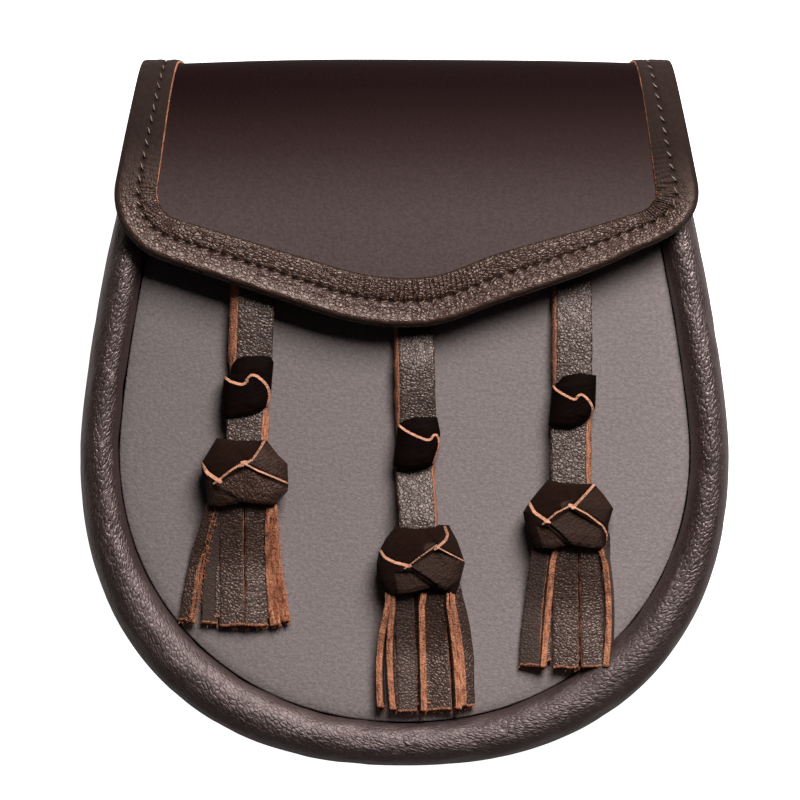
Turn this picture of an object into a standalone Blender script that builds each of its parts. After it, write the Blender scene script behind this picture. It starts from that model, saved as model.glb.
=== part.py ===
"""Leather sporran pouch with a pointed flap, three straps and three tassels.

The pouch lies on its back. X runs across it, Y from its round bottom to the fold at its top, and Z
out of its front. The origin is under the middle of the pouch, on the surface that it lies on.
All sizes are in millimetres, and turned to metres where a mesh is written.
"""

import math
from collections import namedtuple

import bmesh
import bpy
import numpy as np

MM = 0.001
GAP = 0.3  # left between pieces that lie on each other
TOUCH = 1e-3  # two places closer than this are the same place
SHARP_ANGLE, ARC_STEP = math.radians(40), math.radians(6)

# Front of the pouch: a superellipse below its widest line, sides that lean in above it
WIDEST_Y = -10.8
BODY_HALF_WIDTH, BODY_DROP, BODY_ROUNDNESS = 92.5, 90.0, 2.3
PANEL_HALF_WIDTH, PANEL_DROP, PANEL_ROUNDNESS = 81.5, 77.8, 2.1
TAPER, TAPER_RISE, TAPER_POWER = 19.5, 106.0, 1.42
POUCH_TOP_Y = 84.0
SIDE_STATIONS, LOW_STATIONS = 9, 38

# Depth of the pouch, from the back to the rolled rim
BACK_THICKNESS, BACK_EDGE_INSET, BACK_SLOPE = 2.5, 2.0, 0.052
PANEL_FACE_Z, PANEL_THICKNESS, PANEL_TOP_Y = 33.0, 2.0, 80.0
ROLL_FOOT_Z, ROLL_HALF_HEIGHT, ROLL_SIDES = 26.0, 6.0, 10
ROLL_TOP_HALF_HEIGHT, ROLL_THINNING_Y = 4.5, 45.0  # the flap presses it thinner from here up
GUSSET_THICKNESS, GUSSET_FOOT_INSET, GUSSET_BULGE_INSET, GUSSET_HEAD_INSET = 2.0, 3.4, 2.2, 3.0
GUSSET_BULGE_SHARE = 0.5  # of the wall's height, where it stands out most

# Flap: a flat pattern, bent over the top of the pouch
FLAP_THICKNESS, FLAP_CENTRE_X = 2.4, 0.6
FLAP_BACK_Y, FLAP_FOLD_Y, FLAP_TOP_Y = 64.0, 79.4, 100.8
FLAP_CREST_Y, FLAP_FRONT_ROUNDNESS, FLAP_BACK_ROUNDNESS = 52.0, 2.0, 2.6
FLAP_FRONT_Z, FLAP_POINT_FALL, FLAP_FALL_POWER, FLAP_CROWN = 43.4, 4.0, 1.6, 2.6
FLAP_CORNER_X, FLAP_CORNER_Y, FLAP_POINT_Y, FLAP_SIDE_LEAN = 86.0, 48.7, 20.3, 0.19
FLAP_CORNER_RADIUS, FLAP_POINT_RADIUS, FLAP_BACK_RADIUS = 20.0, 78.0, 6.0
FLAP_FRONT_CUTS, FLAP_CROWN_CUTS = 4, 9
BINDING_THICKNESS, BINDING_EDGE, BINDING_HEM = 1.1, 2.0, 0.6
BINDING_SIDE_WIDTH, BINDING_POINT_WIDTH, BINDING_STEP = 11.2, 14.0, 8.0
BINDING_SHOULDER = ((0.0, 1.95), (0.6, 0.45), (1.3, 0.0))  # (in from its edge, down from its top)

# Closure and belt loops
SNAP_RADIUS, SNAP_Y, SNAP_SIDES = 6.0, 46.0, 24
LOOP_THICKNESS, LOOP_WIDTH, LOOP_X = 2.0, 20.0, 42.0
LOOP_LOW_Y, LOOP_HIGH_Y, LOOP_FOOT, LOOP_RISE = 20.0, 62.0, 6.0, 5.0

# Straps, knots and tassels
STRAP_WIDTH, STRAP_THICKNESS, STRAP_TOP_RAISE = 10.4, 2.2, 0.3
STRAP_RISE_SHARE = 0.55  # how far up from its small knot a strap leaves the panel
STRAP_SMALL_DIP, STRAP_TASSEL_DIP, STRAP_TASSEL_ENTRY = 0.4, 0.8, 0.6  # where it enters its knots
SMALL_KNOT_DEPTH, TASSEL_KNOT_DEPTH = 8.6, 11.6
KNOT_SIDES, KNOT_SQUARENESS = 14, 2.6
HOLE_TOP_SHARE, HOLE_FOOT_SHARE = 0.35, 0.55  # between these shares of a knot its hole widens
HEAD_TOP_SHARE, HEAD_DEPTH, HEAD_WIDTH = 0.12, 5.0, 17.0
STRIP_ROWS_GAP, STRIP_GAP = 0.6, 0.4
STRIP_THICKNESS, STRIP_STEPS = 2.0, 3

Strap = namedtuple("Strap", "side top_y top_x knot_x end_x end_y upper_lean lower_lean")
STRAPS = (
    Strap("left", 50.0, -43.2, -43.8, -44.7, -11.5, 1.15, -1.15),
    Strap("middle", 37.0, 2.4, 3.0, 4.0, -36.0, 0.70, -0.50),
    Strap("right", 50.0, 47.6, 47.5, 47.4, -23.5, 0.70, -0.85),
)

Knot = namedtuple("Knot", "x y width height")
SMALL_KNOTS = {
    "left": Knot(-44.3, 6.8, 14.2, 17.0),
    "middle": Knot(3.7, -8.8, 13.4, 15.0),
    "right": Knot(47.6, 3.3, 14.4, 14.6),
}
TASSEL_KNOTS = {
    "left": Knot(-45.3, -17.6, 25.9, 19.7),
    "middle": Knot(4.4, -42.0, 25.7, 19.7),
    "right": Knot(46.7, -29.8, 25.9, 18.8),
}

# How a knot swells on its way down: each share is of the knot's height, width or depth
Swell = namedtuple("Swell", "down wide deep")
SMALL_KNOT_FORM = (
    Swell(0.0, 0.93, 0.72), Swell(0.22, 1.0, 0.94), Swell(0.5, 0.97, 1.0),
    Swell(0.8, 1.0, 0.96), Swell(1.0, 0.92, 0.74),
)
TASSEL_KNOT_FORM = (
    Swell(0.0, 0.68, 0.66), Swell(0.25, 0.91, 0.93), Swell(0.5, 1.0, 1.0),
    Swell(0.8, 0.93, 0.96), Swell(1.0, 0.85, 0.76),
)

# Strips hang side by side from the head. tip_x is from the knot's middle, lift from the panel
# to the strip's underside at its tip, and turn is the tip's roll in degrees.
Strip = namedtuple("Strip", "tip_x tip_width lift length turn")
FRONT_STRIPS = {
    "left": (
        Strip(-16.0, 4.6, 3.2, 33.0, 24),
        Strip(-10.4, 4.6, 2.8, 34.5, 6),
        Strip(-4.7, 6.0, 3.4, 35.0, -4),
        Strip(2.4, 5.8, 3.8, 34.5, 4),
        Strip(8.8, 3.6, 3.2, 34.0, -30),
    ),
    "middle": (
        Strip(-10.4, 4.4, 3.0, 33.5, 20),
        Strip(-2.7, 6.0, 3.6, 35.0, 3),
        Strip(2.4, 2.6, 3.2, 34.5, -10),
        Strip(6.9, 5.2, 3.6, 34.5, -3),
        Strip(12.6, 3.8, 3.0, 33.5, -24),
    ),
    "right": (
        Strip(-11.2, 5.0, 3.4, 34.0, 8),
        Strip(-6.4, 3.0, 3.4, 34.5, 16),
        Strip(-0.8, 6.4, 4.4, 35.0, 2),
        Strip(6.2, 6.2, 5.6, 34.0, -2),
        Strip(11.6, 2.8, 6.0, 34.0, -16),
    ),
}
BACK_STRIP_COUNT, BACK_STRIP_SPREAD, BACK_STRIP_WIDTH = 4, 7.0, 3.4
BACK_STRIP_LENGTH, BACK_STRIP_LIFT = 29.0, 0.3
Station = namedtuple("Station", "y x z lean")

Leather = namedtuple("Leather", "name colour roughness")
SMOOTH = Leather("smooth_brown_leather", (0.070, 0.044, 0.038), 0.45)
GRAINED = Leather("grained_brown_leather", (0.058, 0.036, 0.030), 0.50)
DARK = Leather("dark_knot_leather", (0.022, 0.011, 0.008), 0.40)
BRASS = Leather("closure_brass", (0.56, 0.44, 0.24), 0.35)


def remove_everything():
    for found in list(bpy.data.objects):
        bpy.data.objects.remove(found, do_unlink=True)


def material_of(leather):
    """A Principled material, made once and shared by the pieces cut from the same leather."""
    made = bpy.data.materials.get(leather.name)
    if made:
        return made
    made = bpy.data.materials.new(leather.name)
    made.use_nodes = True
    shader = made.node_tree.nodes["Principled BSDF"]
    shader.inputs["Base Color"].default_value = (*leather.colour, 1.0)
    shader.inputs["Roughness"].default_value = leather.roughness
    shader.inputs["Metallic"].default_value = 1.0 if leather is BRASS else 0.0
    return made


def add_piece(name, shape, leather):
    """Turn a bmesh in millimetres into a named object in metres, with its faces outwards."""
    for vert in shape.verts:
        vert.co *= MM
    bmesh.ops.recalc_face_normals(shape, faces=shape.faces[:])
    bmesh.ops.triangulate(shape, faces=shape.faces[:])
    mesh = bpy.data.meshes.new(name)
    shape.to_mesh(mesh)
    shape.free()
    mesh.shade_smooth()
    mesh.set_sharp_from_angle(angle=SHARP_ANGLE)
    piece = bpy.data.objects.new(name, mesh)
    piece.data.materials.append(material_of(leather))
    bpy.context.scene.collection.objects.link(piece)
    return piece


def loft(rings, closed=False):
    """Skin a row of rings that have the same number of points. A closed row joins up end to end."""
    shape = bmesh.new()
    rows = [[shape.verts.new(point) for point in ring] for ring in rings]
    if closed:
        rows.append(rows[0])
    for near, far in zip(rows, rows[1:]):
        for i in range(len(near)):
            j = (i + 1) % len(near)
            shape.faces.new((near[i], near[j], far[j], far[i]))
    if not closed:
        shape.faces.new(rows[0])
        shape.faces.new(rows[-1])
    return shape


def smooth_step(share):
    share = min(max(share, 0.0), 1.0)
    return share * share * (3 - 2 * share)


# --- The pouch: panels, gusset and rolled rim ---


def pouch_line(half_width, drop, roundness, top_y):
    """Points from the pouch's top right corner, down, round the bottom and up to its top left."""
    side = []
    for y in np.linspace(top_y, WIDEST_Y, SIDE_STATIONS, endpoint=False):
        lean_in = TAPER * ((y - WIDEST_Y) / TAPER_RISE) ** TAPER_POWER
        side.append((half_width - lean_in, y))
    low = []
    for angle in np.linspace(0, math.pi, LOW_STATIONS + 1):
        across = abs(math.cos(angle)) ** (2 / roundness)
        down = abs(math.sin(angle)) ** (2 / roundness)
        low.append((math.copysign(half_width * across, math.cos(angle)), WIDEST_Y - drop * down))
    return side + low + [(-x, y) for x, y in reversed(side)]


def body_line(inset):
    return pouch_line(BODY_HALF_WIDTH - inset, BODY_DROP - inset, BODY_ROUNDNESS, POUCH_TOP_Y)


def back_face_z(y):
    """The back leans: its lower end touches the ground, and the belt loops fill its upper end."""
    return BACK_SLOPE * (y - (WIDEST_Y - BODY_DROP + BACK_EDGE_INSET))


def make_back_panel():
    line = body_line(BACK_EDGE_INSET)
    outer = [(x, y, back_face_z(y)) for x, y in line]
    inner = [(x, y, back_face_z(y) + BACK_THICKNESS) for x, y in line]
    add_piece("back_panel", loft([outer, inner]), SMOOTH)


def make_front_panel():
    line = pouch_line(PANEL_HALF_WIDTH - GAP, PANEL_DROP - GAP, PANEL_ROUNDNESS, PANEL_TOP_Y)
    heights = (PANEL_FACE_Z - PANEL_THICKNESS, PANEL_FACE_Z)
    add_piece("front_panel", loft([[(x, y, z) for x, y in line] for z in heights]), SMOOTH)


def roll_half_height(y):
    thinner = smooth_step((y - ROLL_THINNING_Y) / (POUCH_TOP_Y - ROLL_THINNING_Y))
    return ROLL_HALF_HEIGHT - (ROLL_HALF_HEIGHT - ROLL_TOP_HALF_HEIGHT) * thinner


def make_rim_roll():
    outer = body_line(0.0)
    inner = pouch_line(PANEL_HALF_WIDTH, PANEL_DROP, PANEL_ROUNDNESS, POUCH_TOP_Y)
    rings = []
    for (out_x, out_y), (in_x, in_y) in zip(outer, inner):
        ring = []
        half_height = roll_half_height(out_y)
        for turn in np.linspace(0, math.tau, ROLL_SIDES, endpoint=False):
            outward = 0.5 + 0.5 * math.cos(turn)
            ring.append((
                in_x + (out_x - in_x) * outward,
                in_y + (out_y - in_y) * outward,
                ROLL_FOOT_Z + half_height * (1 + math.sin(turn)),
            ))
        rings.append(ring)
    add_piece("rim_roll", loft(rings), GRAINED)


def roll_underside_z(inset, y):
    """Height of the roll's underside, where the roll is at its narrowest."""
    half_width = (BODY_HALF_WIDTH - PANEL_HALF_WIDTH) / 2
    across = (half_width - inset) / half_width
    return ROLL_FOOT_Z + roll_half_height(y) * (1 - math.sqrt(1 - across * across))


def make_gusset():
    """A leather wall round the sides and bottom, bowed a little outwards."""
    insets = (GUSSET_FOOT_INSET, GUSSET_BULGE_INSET, GUSSET_HEAD_INSET)
    outside = [body_line(inset) for inset in insets]
    inside = [body_line(inset + GUSSET_THICKNESS) for inset in insets]
    rings = []
    for station in range(len(outside[0])):
        ring = []
        for lines, wall in ((outside, 0.0), (inside, GUSSET_THICKNESS)):
            column = [line[station] for line in lines]
            foot = back_face_z(column[0][1]) + BACK_THICKNESS + GAP
            head = roll_underside_z(GUSSET_HEAD_INSET + wall, column[-1][1]) - GAP
            levels = (foot, foot + (head - foot) * GUSSET_BULGE_SHARE, head)
            face = [(x, y, z) for (x, y), z in zip(column, levels)]
            ring += face if lines is outside else face[::-1]
        rings.append(ring)
    add_piece("gusset", loft(rings), SMOOTH)


# --- The flap and its binding, cut flat and then bent ---

# How many points each stretch of the flap's profile is read at, and how many lie between two cuts
FRONT_SAMPLES, BEND_SAMPLES, BACK_SAMPLES, CUT_STRIDE = 40, 80, 9, 8
SLOPE_REACH = 0.5  # the profile's slope is read this far before and after a place


def fold_profile():
    """The flap's middle layer seen from the side: along is the distance up the flat pattern."""
    top_y = FLAP_TOP_Y - FLAP_THICKNESS / 2
    back_z = back_face_z(FLAP_FOLD_Y) - GAP - FLAP_THICKNESS / 2
    middle_z, half_depth = (FLAP_FRONT_Z + back_z) / 2, (FLAP_FRONT_Z - back_z) / 2
    points = []
    for y in np.linspace(FLAP_POINT_Y, FLAP_CREST_Y, FRONT_SAMPLES, endpoint=False):
        fall = (FLAP_CREST_Y - y) / (FLAP_CREST_Y - FLAP_POINT_Y)
        points.append((y, FLAP_FRONT_Z - FLAP_POINT_FALL * fall**FLAP_FALL_POWER))
    front_bend = np.linspace(math.pi / 2, 0, BEND_SAMPLES, endpoint=False)
    back_bend = np.linspace(0, -math.pi / 2, BEND_SAMPLES + 1)
    for start_y, roundness, angles in (
        (FLAP_CREST_Y, FLAP_FRONT_ROUNDNESS, front_bend),
        (FLAP_FOLD_Y, FLAP_BACK_ROUNDNESS, back_bend),
    ):
        for angle in angles:
            out = abs(math.cos(angle)) ** (2 / roundness)
            up = math.copysign(abs(math.sin(angle)) ** (2 / roundness), angle)
            points.append((start_y + (top_y - start_y) * out, middle_z + half_depth * up))
    for y in np.linspace(FLAP_FOLD_Y, FLAP_BACK_Y, BACK_SAMPLES + 1)[1:]:
        points.append((y, back_face_z(y) - GAP - FLAP_THICKNESS / 2))
    points = np.array(points)
    steps = np.hypot(*np.diff(points, axis=0).T)
    along = points[0, 0] + np.concatenate(([0.0], np.cumsum(steps)))
    return along, points


ALONG, PROFILE = fold_profile()
FOLD_CUTS = ALONG[FRONT_SAMPLES:-BACK_SAMPLES:CUT_STRIDE]
PATTERN_CREST, PATTERN_FOLD_END, PATTERN_BACK = float(FOLD_CUTS[0]), float(FOLD_CUTS[-1]), float(ALONG[-1])
PATTERN_TOP = float(ALONG[FRONT_SAMPLES + BEND_SAMPLES])


def bend(x, along, height):
    """Where a point of the flat pattern lies once the flap is bent. Height is above its middle."""
    around = [along - SLOPE_REACH, along + SLOPE_REACH]
    ends = np.interp(around, ALONG, PROFILE[:, 0])
    rises = np.interp(around, ALONG, PROFILE[:, 1])
    step_y, step_z = ends[1] - ends[0], rises[1] - rises[0]
    size = math.hypot(step_y, step_z)
    fade = smooth_step((PATTERN_FOLD_END - along) / (PATTERN_FOLD_END - PATTERN_TOP))
    height -= fade * FLAP_CROWN * (x / FLAP_CORNER_X) ** 2
    y = float(np.interp(along, ALONG, PROFILE[:, 0])) - height * step_z / size
    z = float(np.interp(along, ALONG, PROFILE[:, 1])) + height * step_y / size
    return (x + FLAP_CENTRE_X, y, z)


def rounded(corners, radii):
    """A polygon with its corners rounded. A radius of 0 keeps the corner."""
    line = []
    for i, (corner, radius) in enumerate(zip(corners, radii)):
        corner = np.array(corner)
        if not radius:
            line.append(corner)
            continue
        before = np.array(corners[i - 1]) - corner
        after = np.array(corners[(i + 1) % len(corners)]) - corner
        before, after = before / np.linalg.norm(before), after / np.linalg.norm(after)
        half_angle = math.acos(float(before @ after)) / 2
        centre = corner + (before + after) * radius / math.sin(2 * half_angle)
        start = corner + before * radius / math.tan(half_angle) - centre
        sweep = math.pi - 2 * half_angle
        turn = sweep if start[0] * before[1] - start[1] * before[0] < 0 else -sweep
        count = max(2, math.ceil(sweep / ARC_STEP))
        for share in np.linspace(0, 1, count + 1):
            c, s = math.cos(turn * share), math.sin(turn * share)
            line.append(centre + np.array((c * start[0] - s * start[1], s * start[0] + c * start[1])))
    return line


def flap_corners(inset):
    """The flat pattern's corners, moved inwards: back left, corner, point, corner, back right."""
    lean = math.atan(FLAP_SIDE_LEAN)
    rise = math.atan((FLAP_CORNER_Y - FLAP_POINT_Y) / FLAP_CORNER_X)
    point_y = FLAP_POINT_Y + inset / math.cos(rise)
    side_x = FLAP_CORNER_X - inset / math.cos(lean)
    # Where the moved side and the moved lower edge cross
    corner_x = (side_x + FLAP_SIDE_LEAN * (FLAP_CORNER_Y - point_y)) / (
        1 + FLAP_SIDE_LEAN * math.tan(rise)
    )
    corner_y = point_y + corner_x * math.tan(rise)
    back_x = side_x - FLAP_SIDE_LEAN * (PATTERN_BACK - FLAP_CORNER_Y)
    return [
        (-back_x, PATTERN_BACK), (-corner_x, corner_y), (0.0, point_y),
        (corner_x, corner_y), (back_x, PATTERN_BACK),
    ]


def cut_across(shape, axis, places):
    """Score a solid with flat cuts across one axis, so that it can be bent there."""
    for place in places:
        point, normal = [0.0, 0.0, 0.0], [0.0, 0.0, 0.0]
        point[axis], normal[axis] = place, 1.0
        everything = shape.verts[:] + shape.edges[:] + shape.faces[:]
        bmesh.ops.bisect_plane(shape, geom=everything, plane_co=point, plane_no=normal)


def make_flap():
    inset = BINDING_EDGE + GAP
    radii = (FLAP_BACK_RADIUS, FLAP_CORNER_RADIUS - inset, FLAP_POINT_RADIUS - inset,
             FLAP_CORNER_RADIUS - inset, FLAP_BACK_RADIUS)
    line = rounded(flap_corners(inset), radii)
    half = FLAP_THICKNESS / 2
    shape = loft([[(x, along, height) for x, along in line] for height in (-half, half)])
    cut_across(shape, 1, FOLD_CUTS)
    cut_across(shape, 1, np.linspace(FLAP_POINT_Y, PATTERN_CREST, FLAP_FRONT_CUTS + 2)[1:-1])
    cut_across(shape, 0, np.linspace(-FLAP_CORNER_X, FLAP_CORNER_X, FLAP_CROWN_CUTS + 2)[1:-1])
    for vert in shape.verts:
        vert.co = bend(*vert.co)
    add_piece("flap", shape, SMOOTH)


def binding_line(inset):
    """The binding's run along the flap's edge, from the back left round the point to the back."""
    radii = (0, FLAP_CORNER_RADIUS, FLAP_POINT_RADIUS, FLAP_CORNER_RADIUS, 0)
    line = rounded(flap_corners(0.0), radii)
    left_top, left_low = line[0], line[1]
    left = [left_top + (left_low - left_top) * (left_top[1] - cut) / (left_top[1] - left_low[1])
            for cut in (PATTERN_BACK, *reversed(FOLD_CUTS)) if cut > left_low[1]]
    turns = left + line[1:-1] + [np.array((-x, along)) for x, along in reversed(left)]
    run = turns[:1]
    for before, after in zip(turns, turns[1:]):
        steps = max(1, round(np.linalg.norm(after - before) / BINDING_STEP))
        run += [before + (after - before) * step / steps for step in range(1, steps + 1)]
    moved = []
    for i, point in enumerate(run):
        way = run[min(i + 1, len(run) - 1)] - run[max(i - 1, 0)]
        inward = np.array((-way[1], way[0])) / np.linalg.norm(way)
        moved.append(point + inward * inset(point))
    return moved


def binding_width(point):
    """The band is widest at the flap's point."""
    share = smooth_step((FLAP_CORNER_Y - point[1]) / (FLAP_CORNER_Y - FLAP_POINT_Y))
    return BINDING_SIDE_WIDTH + (BINDING_POINT_WIDTH - BINDING_SIDE_WIDTH) * share


def make_flap_binding():
    """Its top leaf lies on the flap, and its outer edge is turned down round the flap's edge."""
    under = FLAP_THICKNESS / 2
    leaf, top = under + GAP, under + GAP + BINDING_THICKNESS
    lines = [(binding_line(lambda point: inset), top - down) for inset, down in BINDING_SHOULDER]
    lines += [(binding_line(binding_width), height) for height in (top, leaf)]
    turned_down = ((BINDING_EDGE, leaf), (BINDING_EDGE, -under), (BINDING_HEM, -under))
    lines += [(binding_line(lambda point: inset), height) for inset, height in turned_down]
    rings = [[bend(*line[i], height) for line, height in lines] for i in range(len(lines[0][0]))]
    add_piece("flap_binding", loft(rings), GRAINED)


# --- Closure and belt loops ---


def make_snap_closure():
    """A plain stud on the front panel, under the flap's point."""
    flap_underside = bend(0.0, SNAP_Y - SNAP_RADIUS, -FLAP_THICKNESS / 2)[2]
    rings = []
    for z in (PANEL_FACE_Z + GAP, flap_underside - GAP):
        ring = []
        for turn in np.linspace(0, math.tau, SNAP_SIDES, endpoint=False):
            ring.append((
                FLAP_CENTRE_X + SNAP_RADIUS * math.cos(turn), SNAP_Y + SNAP_RADIUS * math.sin(turn), z
            ))
        rings.append(ring)
    add_piece("snap_closure", loft(rings), BRASS)


def make_belt_loop(name, x):
    """A strip with both ends on the back panel and its middle held off it, for a belt."""
    half = LOOP_THICKNESS / 2
    low, high = LOOP_LOW_Y + LOOP_FOOT, LOOP_HIGH_Y - LOOP_FOOT

    def against_back(y):
        return (y, back_face_z(y) - GAP - half)

    route = [against_back(LOOP_LOW_Y), against_back(low)]
    for share in (0.25, 0.5, 0.75):
        y, z = against_back(low + LOOP_RISE * share)
        route.append((y, z + (half - z) * smooth_step(share)))
    route += [(low + LOOP_RISE, half), (high - LOOP_RISE, half)]
    for share in (0.75, 0.5, 0.25):
        y, z = against_back(high - LOOP_RISE * share)
        route.append((y, z + (half - z) * smooth_step(share)))
    route += [against_back(high), against_back(LOOP_HIGH_Y)]
    rings = []
    for y, z in route:
        rings.append([
            (x + LOOP_WIDTH / 2, y, z - half), (x + LOOP_WIDTH / 2, y, z + half),
            (x - LOOP_WIDTH / 2, y, z + half), (x - LOOP_WIDTH / 2, y, z - half),
        ])
    add_piece(name, loft(rings), SMOOTH)


# --- Straps, knots and tassels ---


def knot_middle_z(depth):
    return PANEL_FACE_Z + GAP + depth / 2


def make_strap(strap, small_knot, tassel_knot):
    """A strap whose side edge leans into view, through its small knot into its tassel's knot.

    Its lean moves its front face sideways from its back face.
    """
    rest_z = PANEL_FACE_Z + STRAP_TOP_RAISE + STRAP_THICKNESS / 2
    small_z, tassel_z = knot_middle_z(SMALL_KNOT_DEPTH), knot_middle_z(TASSEL_KNOT_DEPTH)
    knot_top = small_knot.y + small_knot.height / 2
    knot_foot = small_knot.y - small_knot.height / 2
    rise_y = knot_top + STRAP_RISE_SHARE * (strap.top_y - knot_top)
    entry_y = tassel_knot.y + STRAP_TASSEL_ENTRY * tassel_knot.height
    stations = (
        Station(strap.top_y, strap.top_x, rest_z, strap.upper_lean),
        Station(rise_y, strap.top_x, rest_z, strap.upper_lean),
        Station(knot_top, strap.knot_x, small_z - STRAP_SMALL_DIP, strap.upper_lean),
        Station(small_knot.y, strap.knot_x, small_z, 0.0),
        Station(knot_foot, strap.knot_x, small_z, strap.lower_lean),
        Station(entry_y, strap.end_x, tassel_z - STRAP_TASSEL_DIP, strap.lower_lean),
        Station(strap.end_y, strap.end_x, tassel_z, 0.0),
    )
    half_width, half = STRAP_WIDTH / 2, STRAP_THICKNESS / 2
    rings = []
    for at in stations:
        rings.append([
            (at.x + at.lean - half_width, at.y, at.z + half),
            (at.x + at.lean + half_width, at.y, at.z + half),
            (at.x - at.lean + half_width, at.y, at.z - half),
            (at.x - at.lean - half_width, at.y, at.z - half),
        ])
    add_piece(f"strap_{strap.side}", loft(rings), GRAINED)


def squarish_ring(x, y, z, width, depth, squareness):
    """A rounded loop across a strap, in a plane of constant Y."""
    ring = []
    for turn in np.linspace(0, math.tau, KNOT_SIDES, endpoint=False):
        c, s = math.cos(turn), math.sin(turn)
        ring.append((
            x + math.copysign(abs(c) ** (2 / squareness), c) * width / 2,
            y,
            z + math.copysign(abs(s) ** (2 / squareness), s) * depth / 2,
        ))
    return ring


def make_knot(name, knot, depth, form, hole_top, hole_foot):
    """A fat sleeve of wound leather. Each hole is (x, width, depth) where a strap runs through."""
    z = knot_middle_z(depth)
    outside, inside = [], []
    for swell in form:
        y = knot.y + (0.5 - swell.down) * knot.height
        size = (knot.width * swell.wide, depth * swell.deep)
        outside.append(squarish_ring(knot.x, y, z, *size, KNOT_SQUARENESS))
    for down in (0.0, HOLE_TOP_SHARE, HOLE_FOOT_SHARE, 1.0):
        lower = smooth_step((down - HOLE_TOP_SHARE) / (HOLE_FOOT_SHARE - HOLE_TOP_SHARE))
        x, width, tall = (top + (foot - top) * lower for top, foot in zip(hole_top, hole_foot))
        y = knot.y + (0.5 - down) * knot.height
        inside.append(squarish_ring(x, y, z, width, tall, 2 * KNOT_SQUARENESS))
    add_piece(name, loft(outside + inside[::-1], closed=True), DARK)


def make_tassel(name, knot, strips):
    """Two layers of strips below a head, drawn out of the head's foot and fanned apart."""
    z = knot_middle_z(TASSEL_KNOT_DEPTH)
    root_y = knot.y - knot.height / 2 - GAP
    head_top_y = knot.y - HEAD_TOP_SHARE * knot.height
    half_width, half_depth = HEAD_WIDTH / 2, HEAD_DEPTH / 2
    shape = loft([
        [(knot.x + sx * half_width, y, z + sz * half_depth)
         for sx, sz in ((-1, -1), (1, -1), (1, 1), (-1, 1))]
        for y in (head_top_y, root_y)
    ])
    bmesh.ops.recalc_face_normals(shape, faces=shape.faces[:])
    rows = (
        (z + STRIP_ROWS_GAP / 2, z + half_depth, strips),
        (z - half_depth, z - STRIP_ROWS_GAP / 2, back_strips()),
    )
    widths = [strip.tip_width for strip in strips]
    cell_edges = {}
    for low, high, row in rows:
        shares = widths if row is strips else [1.0] * len(row)
        scale = (HEAD_WIDTH - STRIP_GAP * (len(row) - 1)) / sum(shares)
        left = knot.x - half_width
        cell_edges[low] = []
        for share in shares:
            cell_edges[low].append((left, left + share * scale))
            left += share * scale + STRIP_GAP
    places = sorted({round(edge, 5) for cells in cell_edges.values() for cell in cells for edge in cell})
    cut_across(shape, 0, places[1:-1])
    cut_across(shape, 2, (z - STRIP_ROWS_GAP / 2, z + STRIP_ROWS_GAP / 2))
    for low, high, row in rows:
        for (left, right), strip in zip(cell_edges[low], row):
            draw_strip(shape, (left, right, low, high, root_y), knot.x, strip)
    add_piece(name, shape, GRAINED)


def back_strips():
    spread = np.linspace(-BACK_STRIP_SPREAD, BACK_STRIP_SPREAD, BACK_STRIP_COUNT)
    return [Strip(x, BACK_STRIP_WIDTH, BACK_STRIP_LIFT, BACK_STRIP_LENGTH, 0) for x in spread]


def draw_strip(shape, cell, knot_x, strip):
    """Open one cell of the head's foot and draw it down to the strip's tip."""
    left, right, low, high, root_y = cell
    middle = np.array(((left + right) / 2, (low + high) / 2))
    half = np.array(((right - left) / 2, (high - low) / 2))
    tip = np.array((knot_x + strip.tip_x, PANEL_FACE_Z + strip.lift + STRIP_THICKNESS / 2))
    tip_half = np.array((strip.tip_width / 2, STRIP_THICKNESS / 2))

    def in_cell(face):
        centre = face.calc_center_median()
        at_foot = abs(centre.y - root_y) < TOUCH
        return at_foot and left < centre.x < right and low < centre.z < high

    opened = [face for face in shape.faces if in_cell(face)]
    corners = []
    for vert in {vert for face in opened for vert in face.verts}:
        local = (np.array((vert.co.x, vert.co.z)) - middle) / half
        if abs(local).max() > 1 - TOUCH:
            corners.append((math.atan2(local[1], local[0]), vert, local))
    corners.sort(key=lambda corner: corner[0])
    ring = [vert for _, vert, _ in corners]
    bmesh.ops.delete(shape, geom=opened, context="FACES")
    for step in range(1, STRIP_STEPS + 1):
        share = step / STRIP_STEPS
        spread = math.sin(share * math.pi / 2)
        centre = middle + (tip - middle) * spread
        size = half + (tip_half - half) * spread
        turn = math.radians(strip.turn) * share
        c, s = math.cos(turn), math.sin(turn)
        lower = []
        for _, _, local in corners:
            across, deep = local * size
            lower.append(shape.verts.new((
                centre[0] + c * across - s * deep, root_y - strip.length * share,
                centre[1] + s * across + c * deep,
            )))
        for i in range(len(ring)):
            j = (i + 1) % len(ring)
            shape.faces.new((ring[i], ring[j], lower[j], lower[i]))
        ring = lower
    shape.faces.new(ring)


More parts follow.
